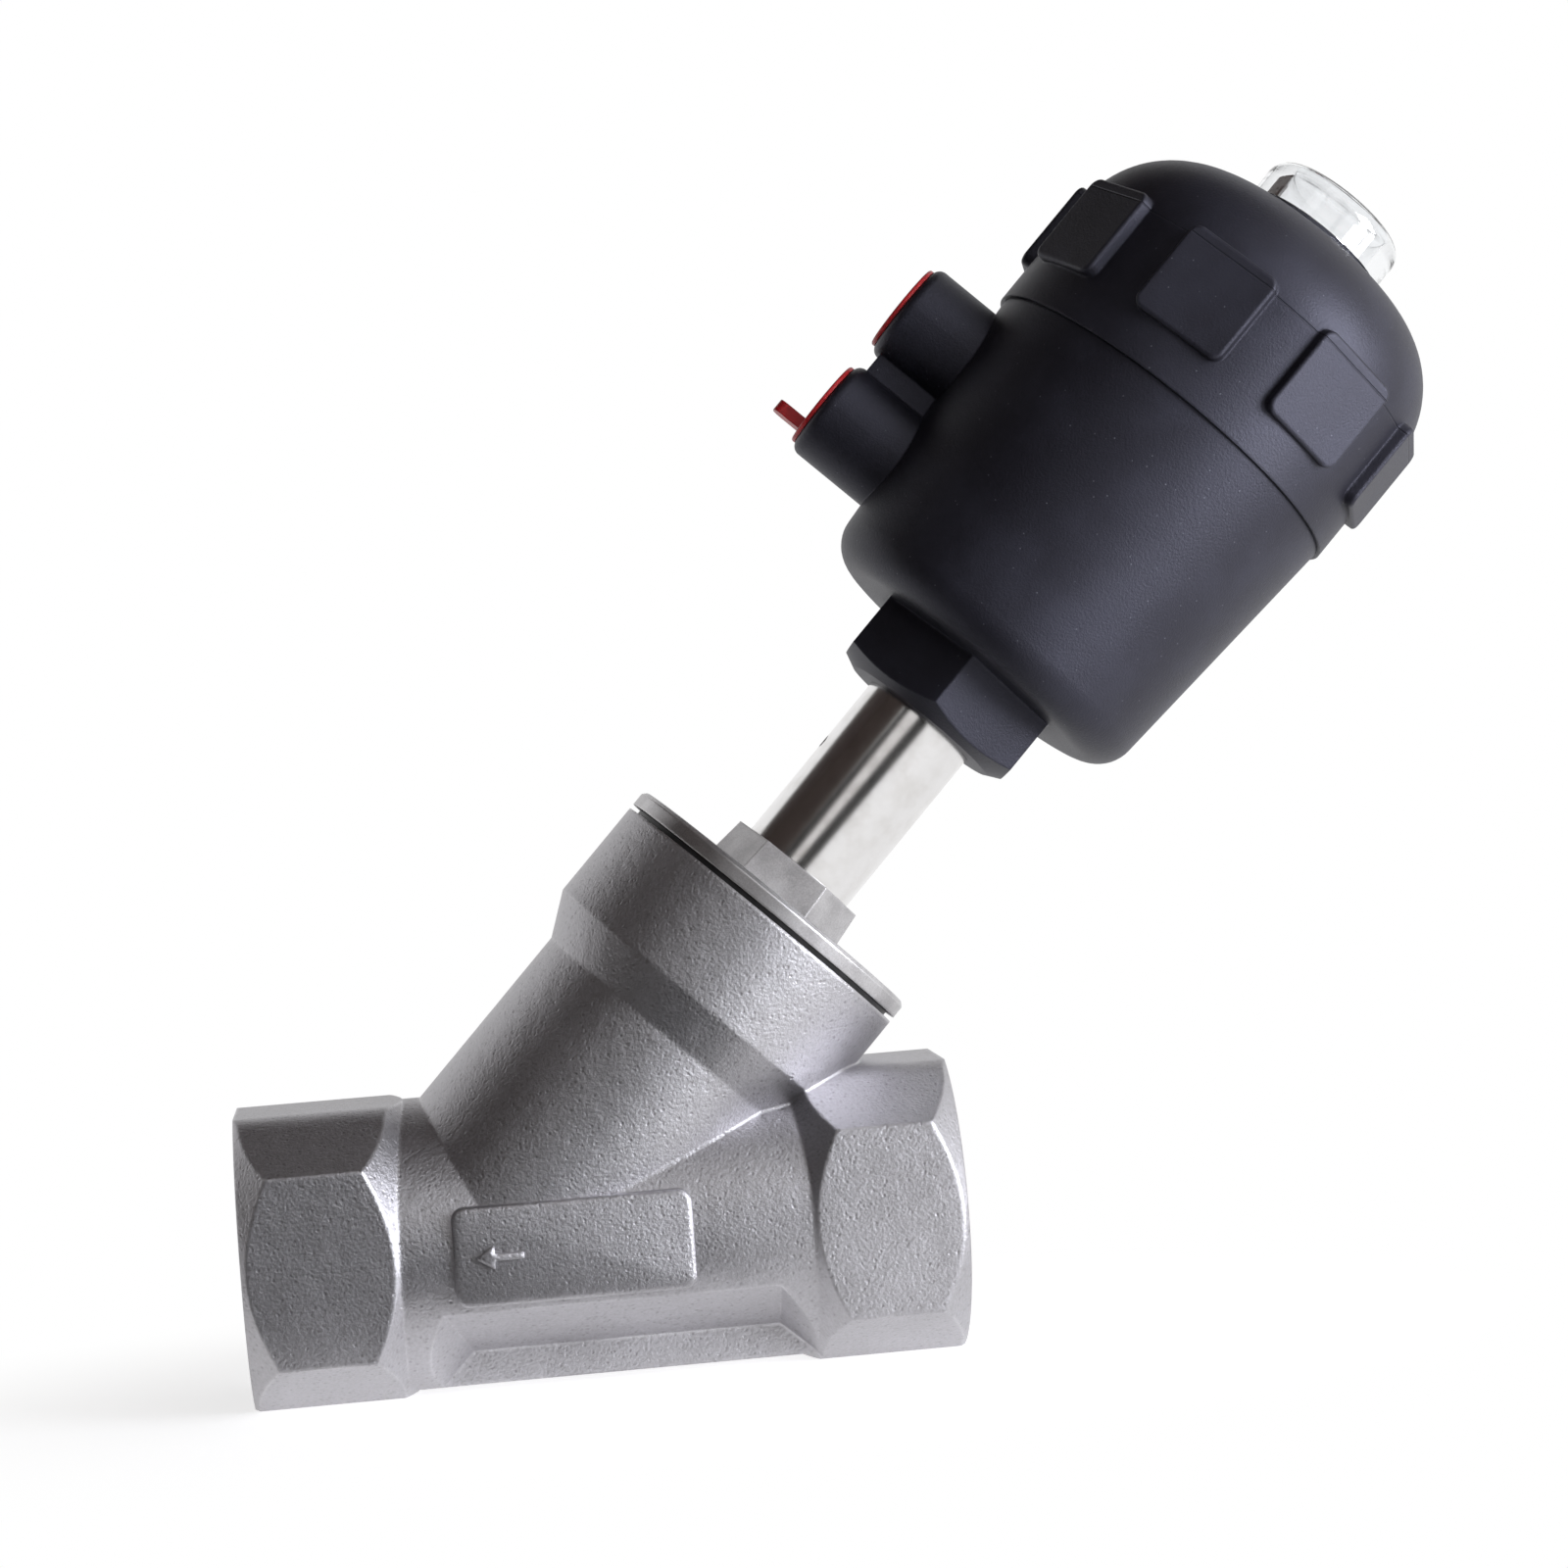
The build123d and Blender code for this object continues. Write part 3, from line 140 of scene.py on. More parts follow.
class Tree:
    """A node tree of a material or of the world, and the one way nodes are added to it."""

    def __init__(self, tree: bpy.types.NodeTree, output: str) -> None:
        """Empties the tree and gives it its output.

        Args:
            tree: The node tree.
            output: The output node's type.
        """
        self.tree = tree
        self.tree.nodes.clear()
        self.output = self.tree.nodes.new(output)

    def surface(self, shader: "Sock") -> None:
        """Shows a shader.

        Args:
            shader: The shader's output.
        """
        self.feed(self.output.inputs["Surface"], shader)

    def node(self, kind: str, settings: dict[str, Any] | None = None,
             inputs: dict[Any, Any] | None = None, output: Any = 0) -> Sock:
        """Adds a node, sets it and feeds it.

        Args:
            kind: The node's type.
            settings: Its properties, set first.
            inputs: Values or links of its sockets, by name or number.
            output: Name or number of the socket to return.

        Returns:
            The chosen output.
        """
        made = self.tree.nodes.new(kind)
        for key, value in (settings or {}).items():
            setattr(made, key, value)
        for key, value in (inputs or {}).items():
            self.feed(made.inputs[key], value)
        return Sock(self, made.outputs[output])

    def feed(self, socket: bpy.types.NodeSocket, value: Any) -> None:
        """Links or sets one input.

        Args:
            socket: The input.
            value: A Sock, a number, a colour or a vector.
        """
        held = value.value if isinstance(value, Sock) else value
        if isinstance(held, bpy.types.NodeSocket):
            self.tree.links.new(held, socket)
        elif isinstance(held, (tuple, list)) and len(held) == 3 and socket.type == "RGBA":
            socket.default_value = (*held, 1.0)
        else:
            socket.default_value = held

    def light(self, kind: str, strength: float) -> Sock:
        """Adds a white Emission or Background node.

        Args:
            kind: The node's type.
            strength: Its strength, where 1 is white.

        Returns:
            The shader.
        """
        return self.node(kind, None, {"Color": (1.0, 1.0, 1.0), "Strength": strength})

    def choose(self, factor: Sock, first: Sock, second: Sock) -> Sock:
        """Mixes two shaders.

        Args:
            factor: Share of the second.
            first: A shader.
            second: A shader.

        Returns:
            The mixed shader.
        """
        return self.node("ShaderNodeMixShader", None, {0: factor, 1: first, 2: second})

    def seen(self) -> Sock:
        """Tells rays of camera, gloss and glass, with a 1, from the rays that light the object."""
        rays = [self.node("ShaderNodeLightPath", output=f"Is {name} Ray")
                for name in ("Camera", "Glossy", "Transmission")]
        return (rays[0] + rays[1] + rays[2]).clamp()

    def place(self) -> Sock:
        """Gives the surface point in the object's own frame, in metres."""
        return self.node("ShaderNodeTexCoord", output="Object")

    def noise(self, size_mm: float, detail: float = 2.0, at: Sock | None = None,
              roughness: float = 0.5) -> Sock:
        """Adds noise with patches of about a given size.

        Args:
            size_mm: Size of a patch in millimetres.
            detail: Octaves.
            at: The point to read, or None for the surface point.
            roughness: Weight of the finer octaves.

        Returns:
            A value between 0 and 1.
        """
        return self.node("ShaderNodeTexNoise", {"noise_dimensions": "3D"},
                         {"Vector": at or self.place(), "Scale": 1 / (size_mm * MM), "Detail": detail,
                          "Roughness": roughness}, "Fac")

    def cells(self, size_mm: float) -> Sock:
        """Adds a pattern of cells.

        Args:
            size_mm: Size of a cell in millimetres.

        Returns:
            The distance to the nearest cell's middle, as a share of the size.
        """
        return self.node("ShaderNodeTexVoronoi", None,
                         {"Vector": self.place(), "Scale": 1 / (size_mm * MM)}, "Distance")

    def from_point(self, origin: Sequence[float]) -> Sock:
        """Gives the vector from a point, in metres, to the surface point."""
        return self.node("ShaderNodeVectorMath", {"operation": "SUBTRACT"},
                         {0: self.place(), 1: tuple(origin)}, "Vector")

    def length(self, vector: Sock) -> Sock:
        """Gives a vector's length."""
        return self.node("ShaderNodeVectorMath", {"operation": "LENGTH"}, {0: vector}, "Value")

    def dot(self, first: Any, second: Any) -> Sock:
        """Gives the dot product of two vectors."""
        return self.node("ShaderNodeVectorMath", {"operation": "DOT_PRODUCT"}, {0: first, 1: second}, "Value")

    def blend(self, factor: Sock, first: Any, second: Any) -> Sock:
        """Mixes two colours.

        Args:
            factor: Share of the second.
            first: A colour or Sock.
            second: A colour or Sock.

        Returns:
            The mixed colour.
        """
        inputs = {0: factor, 6: first, 7: second}
        return self.node("ShaderNodeMix", {"data_type": "RGBA"}, inputs, output=2)


class Shader(Tree):
    """A material's node tree with a Principled BSDF."""

    edge_gain = 6.0

    def __init__(self, name: str) -> None:
        """Makes the material.

        Args:
            name: The finish's name.
        """
        self.material = bpy.data.materials.new(f"{name}_finish")
        self.material.use_nodes = True
        super().__init__(self.material.node_tree, "ShaderNodeOutputMaterial")
        self.principled = self.tree.nodes.new("ShaderNodeBsdfPrincipled")
        self.skin = Sock(self, self.principled.outputs[0])
        self.surface(self.skin)

    def rounded(self, radius_mm: float) -> Sock:
        """Gives a normal that rounds off sharp edges.

        Args:
            radius_mm: Radius of the rounding.

        Returns:
            The normal.
        """
        return self.node("ShaderNodeBevel", {"samples": 4}, {"Radius": radius_mm * MM}, "Normal")

    def edge(self, radius_mm: float) -> Sock:
        """Finds sharp edges.

        Args:
            radius_mm: Half width of the band along an edge.

        Returns:
            0 on open surfaces, rising towards 1 on edges.
        """
        flat = self.node("ShaderNodeNewGeometry", output="Normal")
        return ((1 - self.dot(self.rounded(radius_mm), flat)) * self.edge_gain).clamp()

    def bump(self, height: Sock, depth_mm: float, under: Sock | None = None) -> Sock:
        """Turns a height into a normal.

        Args:
            height: Height between 0 and 1.
            depth_mm: Depth of the relief in millimetres.
            under: A normal to add it to.

        Returns:
            The normal.
        """
        inputs: dict[Any, Any] = {"Height": height, "Distance": depth_mm * MM, "Strength": 1.0}
        if under is not None:
            inputs["Normal"] = under
        return self.node("ShaderNodeBump", None, inputs, "Normal")

    def finish(self, **sockets: Any) -> bpy.types.Material:
        """Feeds the Principled BSDF and hands over the material.

        Args:
            sockets: Values by socket name, with _ for each space.

        Returns:
            The material.
        """
        for key, value in sockets.items():
            self.feed(self.principled.inputs[key.replace("_", " ")], value)
        return self.material


# ---- the slanted axis ----------------------------------------------------------------------
class BonnetLine:
    """The slanted axis of bonnet, tube and actuator, read from the joints."""

    up = Vector(JOINTS["stem_lift"]["axis"]).normalized()
    ports = Vector(JOINTS["lower_plug_pull"]["axis"]).normalized()
    side = up.cross(ports)
    middle = Vector(JOINTS["actuator_swivel"]["pos_m"])
    foot = middle - up * (middle.z / up.z)

    @classmethod
    def matrix(cls) -> Matrix:
        """Gives the transform from a shape made about Z, with +X towards the air ports."""
        turn = Matrix((cls.ports, cls.side, cls.up)).transposed().to_4x4()
        return Matrix.Translation(cls.foot) @ turn

    @classmethod
    def level(cls, shader: Shader) -> Sock:
        """Measures the surface point along the axis, in metres."""
        return shader.dot(shader.from_point(cls.foot), tuple(cls.up))


# ---- finishes ------------------------------------------------------------------------------
@dataclass(frozen=True)
class CastSteel:
    """Bead-blasted cast stainless steel: matt, grainy, worn bright on its edges."""

    light: Colour = (0.50, 0.49, 0.515)
    dark: Colour = (0.38, 0.37, 0.385)
    worn_bright: Colour = (0.80, 0.79, 0.81)
    pitted: Colour = (0.15, 0.14, 0.14)
    roughness: float = 0.33
    grain_mm: float = 0.40
    grain_depth_mm: float = 0.11
    swell_mm: float = 2.4
    swell_depth_mm: float = 0.09
    patch_mm: float = 11.0
    pit_mm: float = 0.9
    edge_mm: float = 0.7

    def build(self) -> bpy.types.Material:
        """Makes the material."""
        shader = Shader("cast_steel")
        grain = shader.noise(self.grain_mm, 3.0, roughness=0.6)
        swell = shader.noise(self.swell_mm, 2.0)
        patches = shader.noise(self.patch_mm, 3.0)
        pits = shader.cells(self.pit_mm).step_up(0.05, 0.35)
        worn = shader.edge(self.edge_mm)
        tone = (patches * 0.35 + grain * 0.65).step_up(0.25, 0.75)
        colour = shader.blend(tone, self.dark, self.light)
        colour = shader.blend(worn * patches.step_up(0.35, 0.65) * 0.6, colour, self.worn_bright)
        colour = shader.blend((1 - pits) * 0.30, colour, self.pitted)
        rough = self.roughness + grain * 0.16 + patches * 0.06 - worn * 0.10
        relief = shader.bump(swell, self.swell_depth_mm, shader.rounded(self.edge_mm))
        relief = shader.bump(grain * 0.75 + pits * 0.25, self.grain_depth_mm, relief)
        return shader.finish(Base_Color=colour, Metallic=1.0, Roughness=rough.clamp(), Normal=relief)


@dataclass(frozen=True)
class TurnedSteel:
    """Machined stainless steel with fine rings about the slanted axis."""

    name: str = "turned_steel"
    light: Colour = (0.60, 0.59, 0.60)
    dark: Colour = (0.38, 0.37, 0.38)
    worn_bright: Colour = (0.82, 0.81, 0.82)
    roughness: float = 0.26
    ring_mm: float = 0.16
    ring_depth_mm: float = 0.010
    stain_mm: float = 4.0
    speck_mm: float = 0.22
    edge_mm: float = 0.3

    def build(self) -> bpy.types.Material:
        """Makes the material."""
        shader = Shader(self.name)
        level = BonnetLine.level(shader)
        reach = shader.length(shader.from_point(BonnetLine.foot))
        radius = (reach * reach - level * level).at_least(0.0) ** 0.5
        rings_at = shader.node("ShaderNodeCombineXYZ", None, {"X": radius, "Y": level})
        rings = shader.noise(self.ring_mm, 1.0, rings_at)
        stain = shader.noise(self.stain_mm, 4.0)
        speck = shader.noise(self.speck_mm, 2.0)
        worn = shader.edge(self.edge_mm)
        colour = shader.blend((stain * 0.6 + speck * 0.4).step_up(0.3, 0.7), self.dark, self.light)
        colour = shader.blend(worn * 0.6, colour, self.worn_bright)
        rough = self.roughness + rings * 0.10 + speck * 0.10 + stain * 0.05
        relief = shader.bump(rings * 0.7 + speck * 0.3, self.ring_depth_mm, shader.rounded(self.edge_mm))
        return shader.finish(Base_Color=colour, Metallic=1.0, Roughness=rough.clamp(), Normal=relief)


@dataclass(frozen=True)
class PolishedTube:
    """Ground and polished stainless tube with faint circumferential marks."""

    bright: Colour = (0.78, 0.77, 0.77)
    smeared: Colour = (0.62, 0.60, 0.58)
    roughness: float = 0.10
    ring_mm: float = 0.30
    ring_depth_mm: float = 0.0012
    smear_mm: float = 3.0
    haze_mm: float = 0.5
    edge_mm: float = 0.2

    def build(self) -> bpy.types.Material:
        """Makes the material."""
        shader = Shader("polished_steel")
        rings_at = shader.node("ShaderNodeCombineXYZ", None, {"X": BonnetLine.level(shader)})
        rings = shader.noise(self.ring_mm, 3.0, rings_at)
        smear = shader.noise(self.smear_mm, 4.0)
        haze = shader.noise(self.haze_mm, 2.0)
        colour = shader.blend(smear.step_up(0.35, 0.75) * 0.5, self.bright, self.smeared)
        rough = self.roughness + rings * 0.05 + smear * 0.06 + haze * 0.02
        relief = shader.bump(rings, self.ring_depth_mm, shader.rounded(self.edge_mm))
        return shader.finish(Base_Color=colour, Metallic=1.0, Roughness=rough.clamp(), Normal=relief)


@dataclass(frozen=True)
class BlackNylon:
    """Glass-filled black nylon with a fine spark-eroded texture, stray light fibres and a parting line."""

    name: str = "black_plastic"
    base: Colour = (0.0075, 0.007, 0.0105)
    scuff: Colour = (0.024, 0.024, 0.034)
    fibre: Colour = (0.20, 0.20, 0.23)
    sheen: Colour = (0.80, 0.80, 1.0)
    roughness: float = 0.38
    grain_mm: float = 0.30
    grain_depth_mm: float = 0.045
    flow_mm: float = 9.0
    fibre_mm: float = 1.6
    edge_mm: float = 0.45
    parting_level_mm: float = 151.3
    parting_sides_mm: tuple[float, float] = (0.03, 0.16)
    parting_depth_mm: float = 0.10

    def build(self) -> bpy.types.Material:
        """Makes the material."""
        shader = Shader(self.name)
        grain = shader.noise(self.grain_mm, 2.0, roughness=0.6)
        flow = shader.noise(self.flow_mm, 3.0)
        fibres = 1 - shader.cells(self.fibre_mm).step_up(0.0, 0.09)
        worn = shader.edge(self.edge_mm)
        colour = shader.blend(flow.step_up(0.35, 0.75) * 0.5 + worn * 0.4, self.base, self.scuff)
        colour = shader.blend(fibres * 0.55, colour, self.fibre)
        off_line = abs(BonnetLine.level(shader) / MM - self.parting_level_mm)
        parting = off_line.step_up(*self.parting_sides_mm)
        rough = self.roughness + grain * 0.14 + flow * 0.08 - worn * 0.05
        relief = shader.bump(parting, self.parting_depth_mm, shader.rounded(self.edge_mm))
        relief = shader.bump(grain, self.grain_depth_mm, relief)
        return shader.finish(Base_Color=colour, Metallic=0.0, Roughness=rough.clamp(), Normal=relief,
                             Specular_IOR_Level=0.5, Specular_Tint=(*self.sheen, 1.0))


@dataclass(frozen=True)
class SoftPlastic:
    """Moulded soft plastic or filled PTFE: one colour with faint mottling."""

    name: str
    base: Colour
    deep: Colour
    roughness: float = 0.42
    grain_mm: float = 0.5
    grain_depth_mm: float = 0.012
    mottle_mm: float = 2.4
    edge_mm: float = 0.25

    def build(self) -> bpy.types.Material:
        """Makes the material."""
        shader = Shader(self.name)
        mottle = shader.noise(self.mottle_mm, 3.0)
        grain = shader.noise(self.grain_mm, 2.0)
        colour = shader.blend(mottle.step_up(0.35, 0.7), self.base, self.deep)
        rough = self.roughness + grain * 0.10 + mottle * 0.06
        relief = shader.bump(grain, self.grain_depth_mm, shader.rounded(self.edge_mm))
        return shader.finish(Base_Color=colour, Metallic=0.0, Roughness=rough.clamp(), Normal=relief)


@dataclass(frozen=True)
class SoftMetal:
    """Turned brass, aluminium or drawn wire that is seen only through an opening."""

    name: str
    light: Colour
    dark: Colour
    roughness: float = 0.28
    grain_mm: float = 0.2
    grain_depth_mm: float = 0.008
    tarnish_mm: float = 3.0
    edge_mm: float = 0.2

    def build(self) -> bpy.types.Material:
        """Makes the material."""
        shader = Shader(self.name)
        grain = shader.noise(self.grain_mm, 2.0)
        tarnish = shader.noise(self.tarnish_mm, 4.0)
        colour = shader.blend((tarnish * 0.7 + grain * 0.3).step_up(0.3, 0.7), self.light, self.dark)
        rough = self.roughness + grain * 0.12 + tarnish * 0.08
        relief = shader.bump(grain, self.grain_depth_mm, shader.rounded(self.edge_mm))
        return shader.finish(Base_Color=colour, Metallic=1.0, Roughness=rough.clamp(), Normal=relief)


@dataclass(frozen=True)
class ClearPlastic:
    """Clear polycarbonate with a lightly scratched skin."""

    tint: Colour = (0.96, 0.97, 0.98)
    cloud: Colour = (0.88, 0.90, 0.92)
    roughness: float = 0.02
    scratch_mm: float = 0.6
    wave_mm: float = 1.2
    wave_depth_mm: float = 0.004
    cloud_mm: float = 4.0
    refraction: float = 1.58

    def build(self) -> bpy.types.Material:
        """Makes the material."""
        shader = Shader("clear_plastic")
        scratches = shader.noise(self.scratch_mm, 3.0)
        rough = self.roughness + scratches.step_up(0.5, 0.8) * 0.05
        relief = shader.bump(shader.noise(self.wave_mm, 2.0), self.wave_depth_mm)
        tint = shader.blend(shader.noise(self.cloud_mm, 2.0) * 0.3, self.tint, self.cloud)
        return shader.finish(Base_Color=tint, Metallic=0.0, Roughness=rough.clamp(), Normal=relief,
                             Transmission_Weight=1.0, IOR=self.refraction)


class Finish(Enum):
    """The record's material slots, each with the finish that dresses it."""

    CAST_STEEL = CastSteel()
    TURNED_STEEL = TurnedSteel()
    POLISHED_STEEL = PolishedTube()
    BLACK_PLASTIC = BlackNylon()
    CLEAR_PLASTIC = ClearPlastic()
    RED_PLASTIC = SoftPlastic("red_plastic", (0.62, 0.015, 0.02), (0.45, 0.01, 0.015), 0.34)
    SOFT_SEAL = SoftPlastic("soft_seal", (0.80, 0.79, 0.75), (0.68, 0.67, 0.62), 0.46)
    RUBBER = SoftPlastic("rubber", (0.018, 0.018, 0.018), (0.035, 0.035, 0.034), 0.55)
    GRAPHITE = SoftPlastic("graphite", (0.035, 0.034, 0.036), (0.065, 0.063, 0.065), 0.38, 0.3)
    INDICATOR_RED = SoftPlastic("indicator_red", (0.62, 0.02, 0.02), (0.50, 0.015, 0.015), 0.25)
    SPRING_STEEL = SoftMetal("spring_steel", (0.52, 0.51, 0.52), (0.30, 0.29, 0.30))
    BRASS = SoftMetal("brass", (0.78, 0.58, 0.28), (0.56, 0.38, 0.16))
    ALUMINIUM = SoftMetal("aluminium", (0.80, 0.80, 0.81), (0.62, 0.62, 0.63))

    @property
    def slot(self) -> str:
        """Names the record's material slot."""
        return self.name.lower()

    @property
    def material(self) -> bpy.types.Material:
        """Gives the one material of this finish, made when first asked for."""
        return bpy.data.materials.get(f"{self.slot}_finish") or self.value.build()


# ---- mesh writing --------------------------------------------------------------------------
def make_object(name: str, mesh: bmesh.types.BMesh, body: str, finish: Finish,
                place: Matrix) -> bpy.types.Object:
    """Turns a bmesh into a piece that rides on a CAD body.

    Args:
        name: The piece's name.
        mesh: Its mesh, in metres; it is freed.
        body: The body that carries it.
        finish: Its finish.
        place: The transform to bake into the mesh.

    Returns:
        The new object.
    """
    bmesh.ops.transform(mesh, matrix=place, verts=mesh.verts)
    bmesh.ops.recalc_face_normals(mesh, faces=mesh.faces)
    for face in mesh.faces:
        face.smooth = True
    data = bpy.data.meshes.new(name)
    mesh.to_mesh(data)
    mesh.free()
    made = bpy.data.objects.new(name, data)
    bpy.context.collection.objects.link(made)
    data.materials.append(finish.material)
    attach(made, body)
    log.info("%s: %d faces, rides on %s", name, len(data.polygons), body)
    return made


def round_edges(piece: bpy.types.Object, width_mm: float, segments: int) -> None:
    """Rounds a piece's edges with a Bevel modifier.

    Args:
        piece: The object.
        width_mm: Width of the rounding.
        segments: Faces across it.
    """
    modifier = piece.modifiers.new("edge", "BEVEL")
    modifier.width = width_mm * MM
    modifier.segments = segments
    modifier.limit_method = "ANGLE"
    modifier.angle_limit = math.radians(40)


def prism(outline: Sequence[tuple[float, float]], low: float, high: float) -> bmesh.types.BMesh:
    """Makes a prism on the XY plane.

    Args:
        outline: Corners in millimetres.
        low: Height of the foot in millimetres.
        high: Height of the top in millimetres.

    Returns:
        The mesh, in metres.
    """
    mesh = bmesh.new()
    foot = [mesh.verts.new((x * MM, y * MM, low * MM)) for x, y in outline]
    top = [mesh.verts.new((x * MM, y * MM, high * MM)) for x, y in outline]
    mesh.faces.new(foot)
    mesh.faces.new(top)
    for index in range(len(outline)):
        after = (index + 1) % len(outline)
        mesh.faces.new((foot[index], foot[after], top[after], top[index]))
    return mesh


def rounded_rectangle(width: float, height: float, radius: float,
                      steps: int = 6) -> list[tuple[float, float]]:
    """Gives the outline of a rounded rectangle about the origin.

    Args:
        width: Full width.
        height: Full height.
        radius: Corner radius.
        steps: Points on each corner, less one.

    Returns:
        The outline.
    """
    outline = []
    for quarter in range(4):
        turn = quarter * math.pi / 2
        side_x = 1 if quarter in (0, 3) else -1
        side_y = 1 if quarter in (0, 1) else -1
        for step in range(steps + 1):
            angle = turn + step * math.pi / 2 / steps
            outline.append((side_x * (width / 2 - radius) + radius * math.cos(angle),
                            side_y * (height / 2 - radius) + radius * math.sin(angle)))
    return outline


@dataclass
class PipeThread:
    """The inside thread of one port, as a ribbed sleeve on the smooth bore that the record describes."""

    port: str
    body: str
    finish: Finish
    pitch: float
    depth: float
    runout: float
    mouth_step: float = 0.0
    around: int = 72
    rows_per_pitch: int = 8
    skin: float = 0.01

    def profile(self, turn: float) -> float:
        """Gives the rounded height of the thread.

        Args:
            turn: Place along one pitch, 0 to 1.

        Returns:
            0 in the groove, 1 on the crest.
        """
        return min(1.0, max(0.0, 0.5 + 0.72 * math.cos(turn * math.tau)))

    def ring(self, mesh: bmesh.types.BMesh, radii: Sequence[float], level: float) -> list[bmesh.types.BMVert]:
        """Adds one ring of vertices about Z.

        Args:
            mesh: The mesh that takes them.
            radii: Radius at each step round, in millimetres.
            level: Height of the ring in millimetres.

        Returns:
            The vertices.
        """
        angles = [step / self.around * math.tau for step in range(self.around)]
        return [mesh.verts.new((radius * MM * math.cos(angle), radius * MM * math.sin(angle), level * MM))
                for radius, angle in zip(radii, angles)]

    def sleeve(self, bore: float, length: float) -> bmesh.types.BMesh:
        """Makes the sleeve with its mouth at the origin, running down -Z.

        Args:
            bore: Radius of the port's wall in millimetres.
            length: Length of the thread in millimetres.

        Returns:
            The mesh, in metres.
        """
        mesh = bmesh.new()
        rows = int(length / self.pitch * self.rows_per_pitch)
        rings = []
        for row in range(rows + 1):
            down = length * row / rows
            fade = min(1.0, row / self.rows_per_pitch, (rows - row) / self.rows_per_pitch)
            turns = [down / self.pitch + step / self.around for step in range(self.around)]
            radii = [bore - 2 * self.skin - self.depth * self.profile(turn) * fade for turn in turns]
            rings.append(self.ring(mesh, radii, -down))
        for end in (length, 0.0):
            rings.append(self.ring(mesh, [bore - self.skin] * self.around, -end))
        for index, ring in enumerate(rings):
            following = rings[(index + 1) % len(rings)]
            for step in range(self.around):
                after = (step + 1) % self.around
                mesh.faces.new((ring[step], ring[after], following[after], following[step]))
        return mesh

    def build(self) -> None:
        """Makes the sleeve in its port."""
        mount = next(item for item in RECORD["mounts"] if item["name"] == self.port)
        out = Vector(mount["axis"])
        mouth = Vector(mount["pos_m"]) + out * self.mouth_step * MM
        place = Matrix.Translation(mouth) @ out.to_track_quat("Z", "Y").to_matrix().to_4x4()
        sleeve = self.sleeve(mount["dims"]["r_mm"], mount["dims"]["length_mm"] - self.runout)
        make_object(f"{self.port}_thread", sleeve, self.body, self.finish, place)


# ---- sub-assemblies ------------------------------------------------------------------------
class Dressing:
    """A group of CAD nodes that take their finishes from the record's slots."""

    nodes: tuple[str, ...] = ()

    def dress(self) -> None:
        """Puts each node's finish on it."""
        slots = {part["node"]: part["material_slot"] for part in RECORD["subparts"]}
        for name in self.nodes:
            piece = frame["nodes"][name]
            piece.data.materials.clear()
            piece.data.materials.append(Finish[slots[name].upper()].material)
            log.info("%s: dressed as %s", name, slots[name])

    def build(self) -> None:
        """Adds the group's own meshes."""


@dataclass
class PipeBody(Dressing):
    """The Y casting with its port threads, cast plate and flow arrow."""

    nodes: tuple[str, ...] = ("valve_body",)
    thread_pitch: float = 2.309
    thread_depth: float = 0.75
    thread_runout: float = 0.4
    plate_width: float = 29.6
    plate_height: float = 12.3
    plate_middle: tuple[float, float] = (-49.2, 0.1)
    plate_corner: float = 1.6
    plate_thickness: float = 3.0
    plate_face: float = 20.8
    plate_edge: float = 0.45
    arrow_middle: tuple[float, float] = (-58.4, 0.0)
    arrow_length: float = 6.0
    arrow_head_length: float = 2.4
    arrow_head_width: float = 2.976
    arrow_shaft_width: float = 0.84
    arrow_relief: float = 0.7
    arrow_edge: float = 0.18

    def front(self, middle: tuple[float, float]) -> Matrix:
        """Gives the transform that stands a shape drawn on XY on the plate's face, on the -Y side.

        Args:
            middle: The X and Z of its origin, in millimetres.

        Returns:
            The transform.
        """
        turn = Matrix.Rotation(math.pi / 2, 4, "X")
        return Matrix.Translation((middle[0] * MM, -self.plate_face * MM, middle[1] * MM)) @ turn

    def cast_plate(self) -> None:
        """Raises the plate on the front of the barrel."""
        outline = rounded_rectangle(self.plate_width, self.plate_height, self.plate_corner)
        mesh = prism(outline, -self.plate_thickness, 0.0)
        plate = make_object("cast_plate", mesh, "valve", Finish.CAST_STEEL, self.front(self.plate_middle))
        round_edges(plate, self.plate_edge, segments=4)

    def flow_arrow(self) -> None:
        """Raises the arrow on the plate, pointing to the outlet."""
        tip, tail = -self.arrow_length / 2, self.arrow_length / 2
        neck = tip + self.arrow_head_length
        barb, side = self.arrow_head_width / 2, self.arrow_shaft_width / 2
        outline = ((tip, 0), (neck, -barb), (neck, -side), (tail, -side),
                   (tail, side), (neck, side), (neck, barb))
        mesh = prism(outline, -self.arrow_relief, self.arrow_relief)
        arrow = make_object("flow_arrow", mesh, "valve", Finish.CAST_STEEL, self.front(self.arrow_middle))
        round_edges(arrow, self.arrow_edge, segments=3)

    def build(self) -> None:
        """Makes threads, plate and arrow."""
        for port in ("inlet_port", "outlet_port"):
            PipeThread(port, "valve", Finish.TURNED_STEEL, self.thread_pitch, self.thread_depth,
                       self.thread_runout).build()
        self.cast_plate()
        self.flow_arrow()


@dataclass
class BonnetGroup(Dressing):
    """Bonnet, tube, packing and guides."""

    nodes: tuple[str, ...] = ("bonnet_gasket", "bonnet", "bonnet_tube", "lower_guide", "packing_spring",
                              "packing_washer", "v_rings", "packing_gland", "upper_guide", "rod_seal",
                              "rod_seal_washer", "rod_seal_circlip", "thrust_washer", "housing_circlip")


@dataclass
class StemTrain(Dressing):
    """Stem, disc, piston and indicator."""

    nodes: tuple[str, ...] = ("stem", "disc", "disc_seal", "seal_clamp", "disc_nut", "piston", "piston_seal",
                              "piston_guide_ring", "piston_nut", "position_indicator")


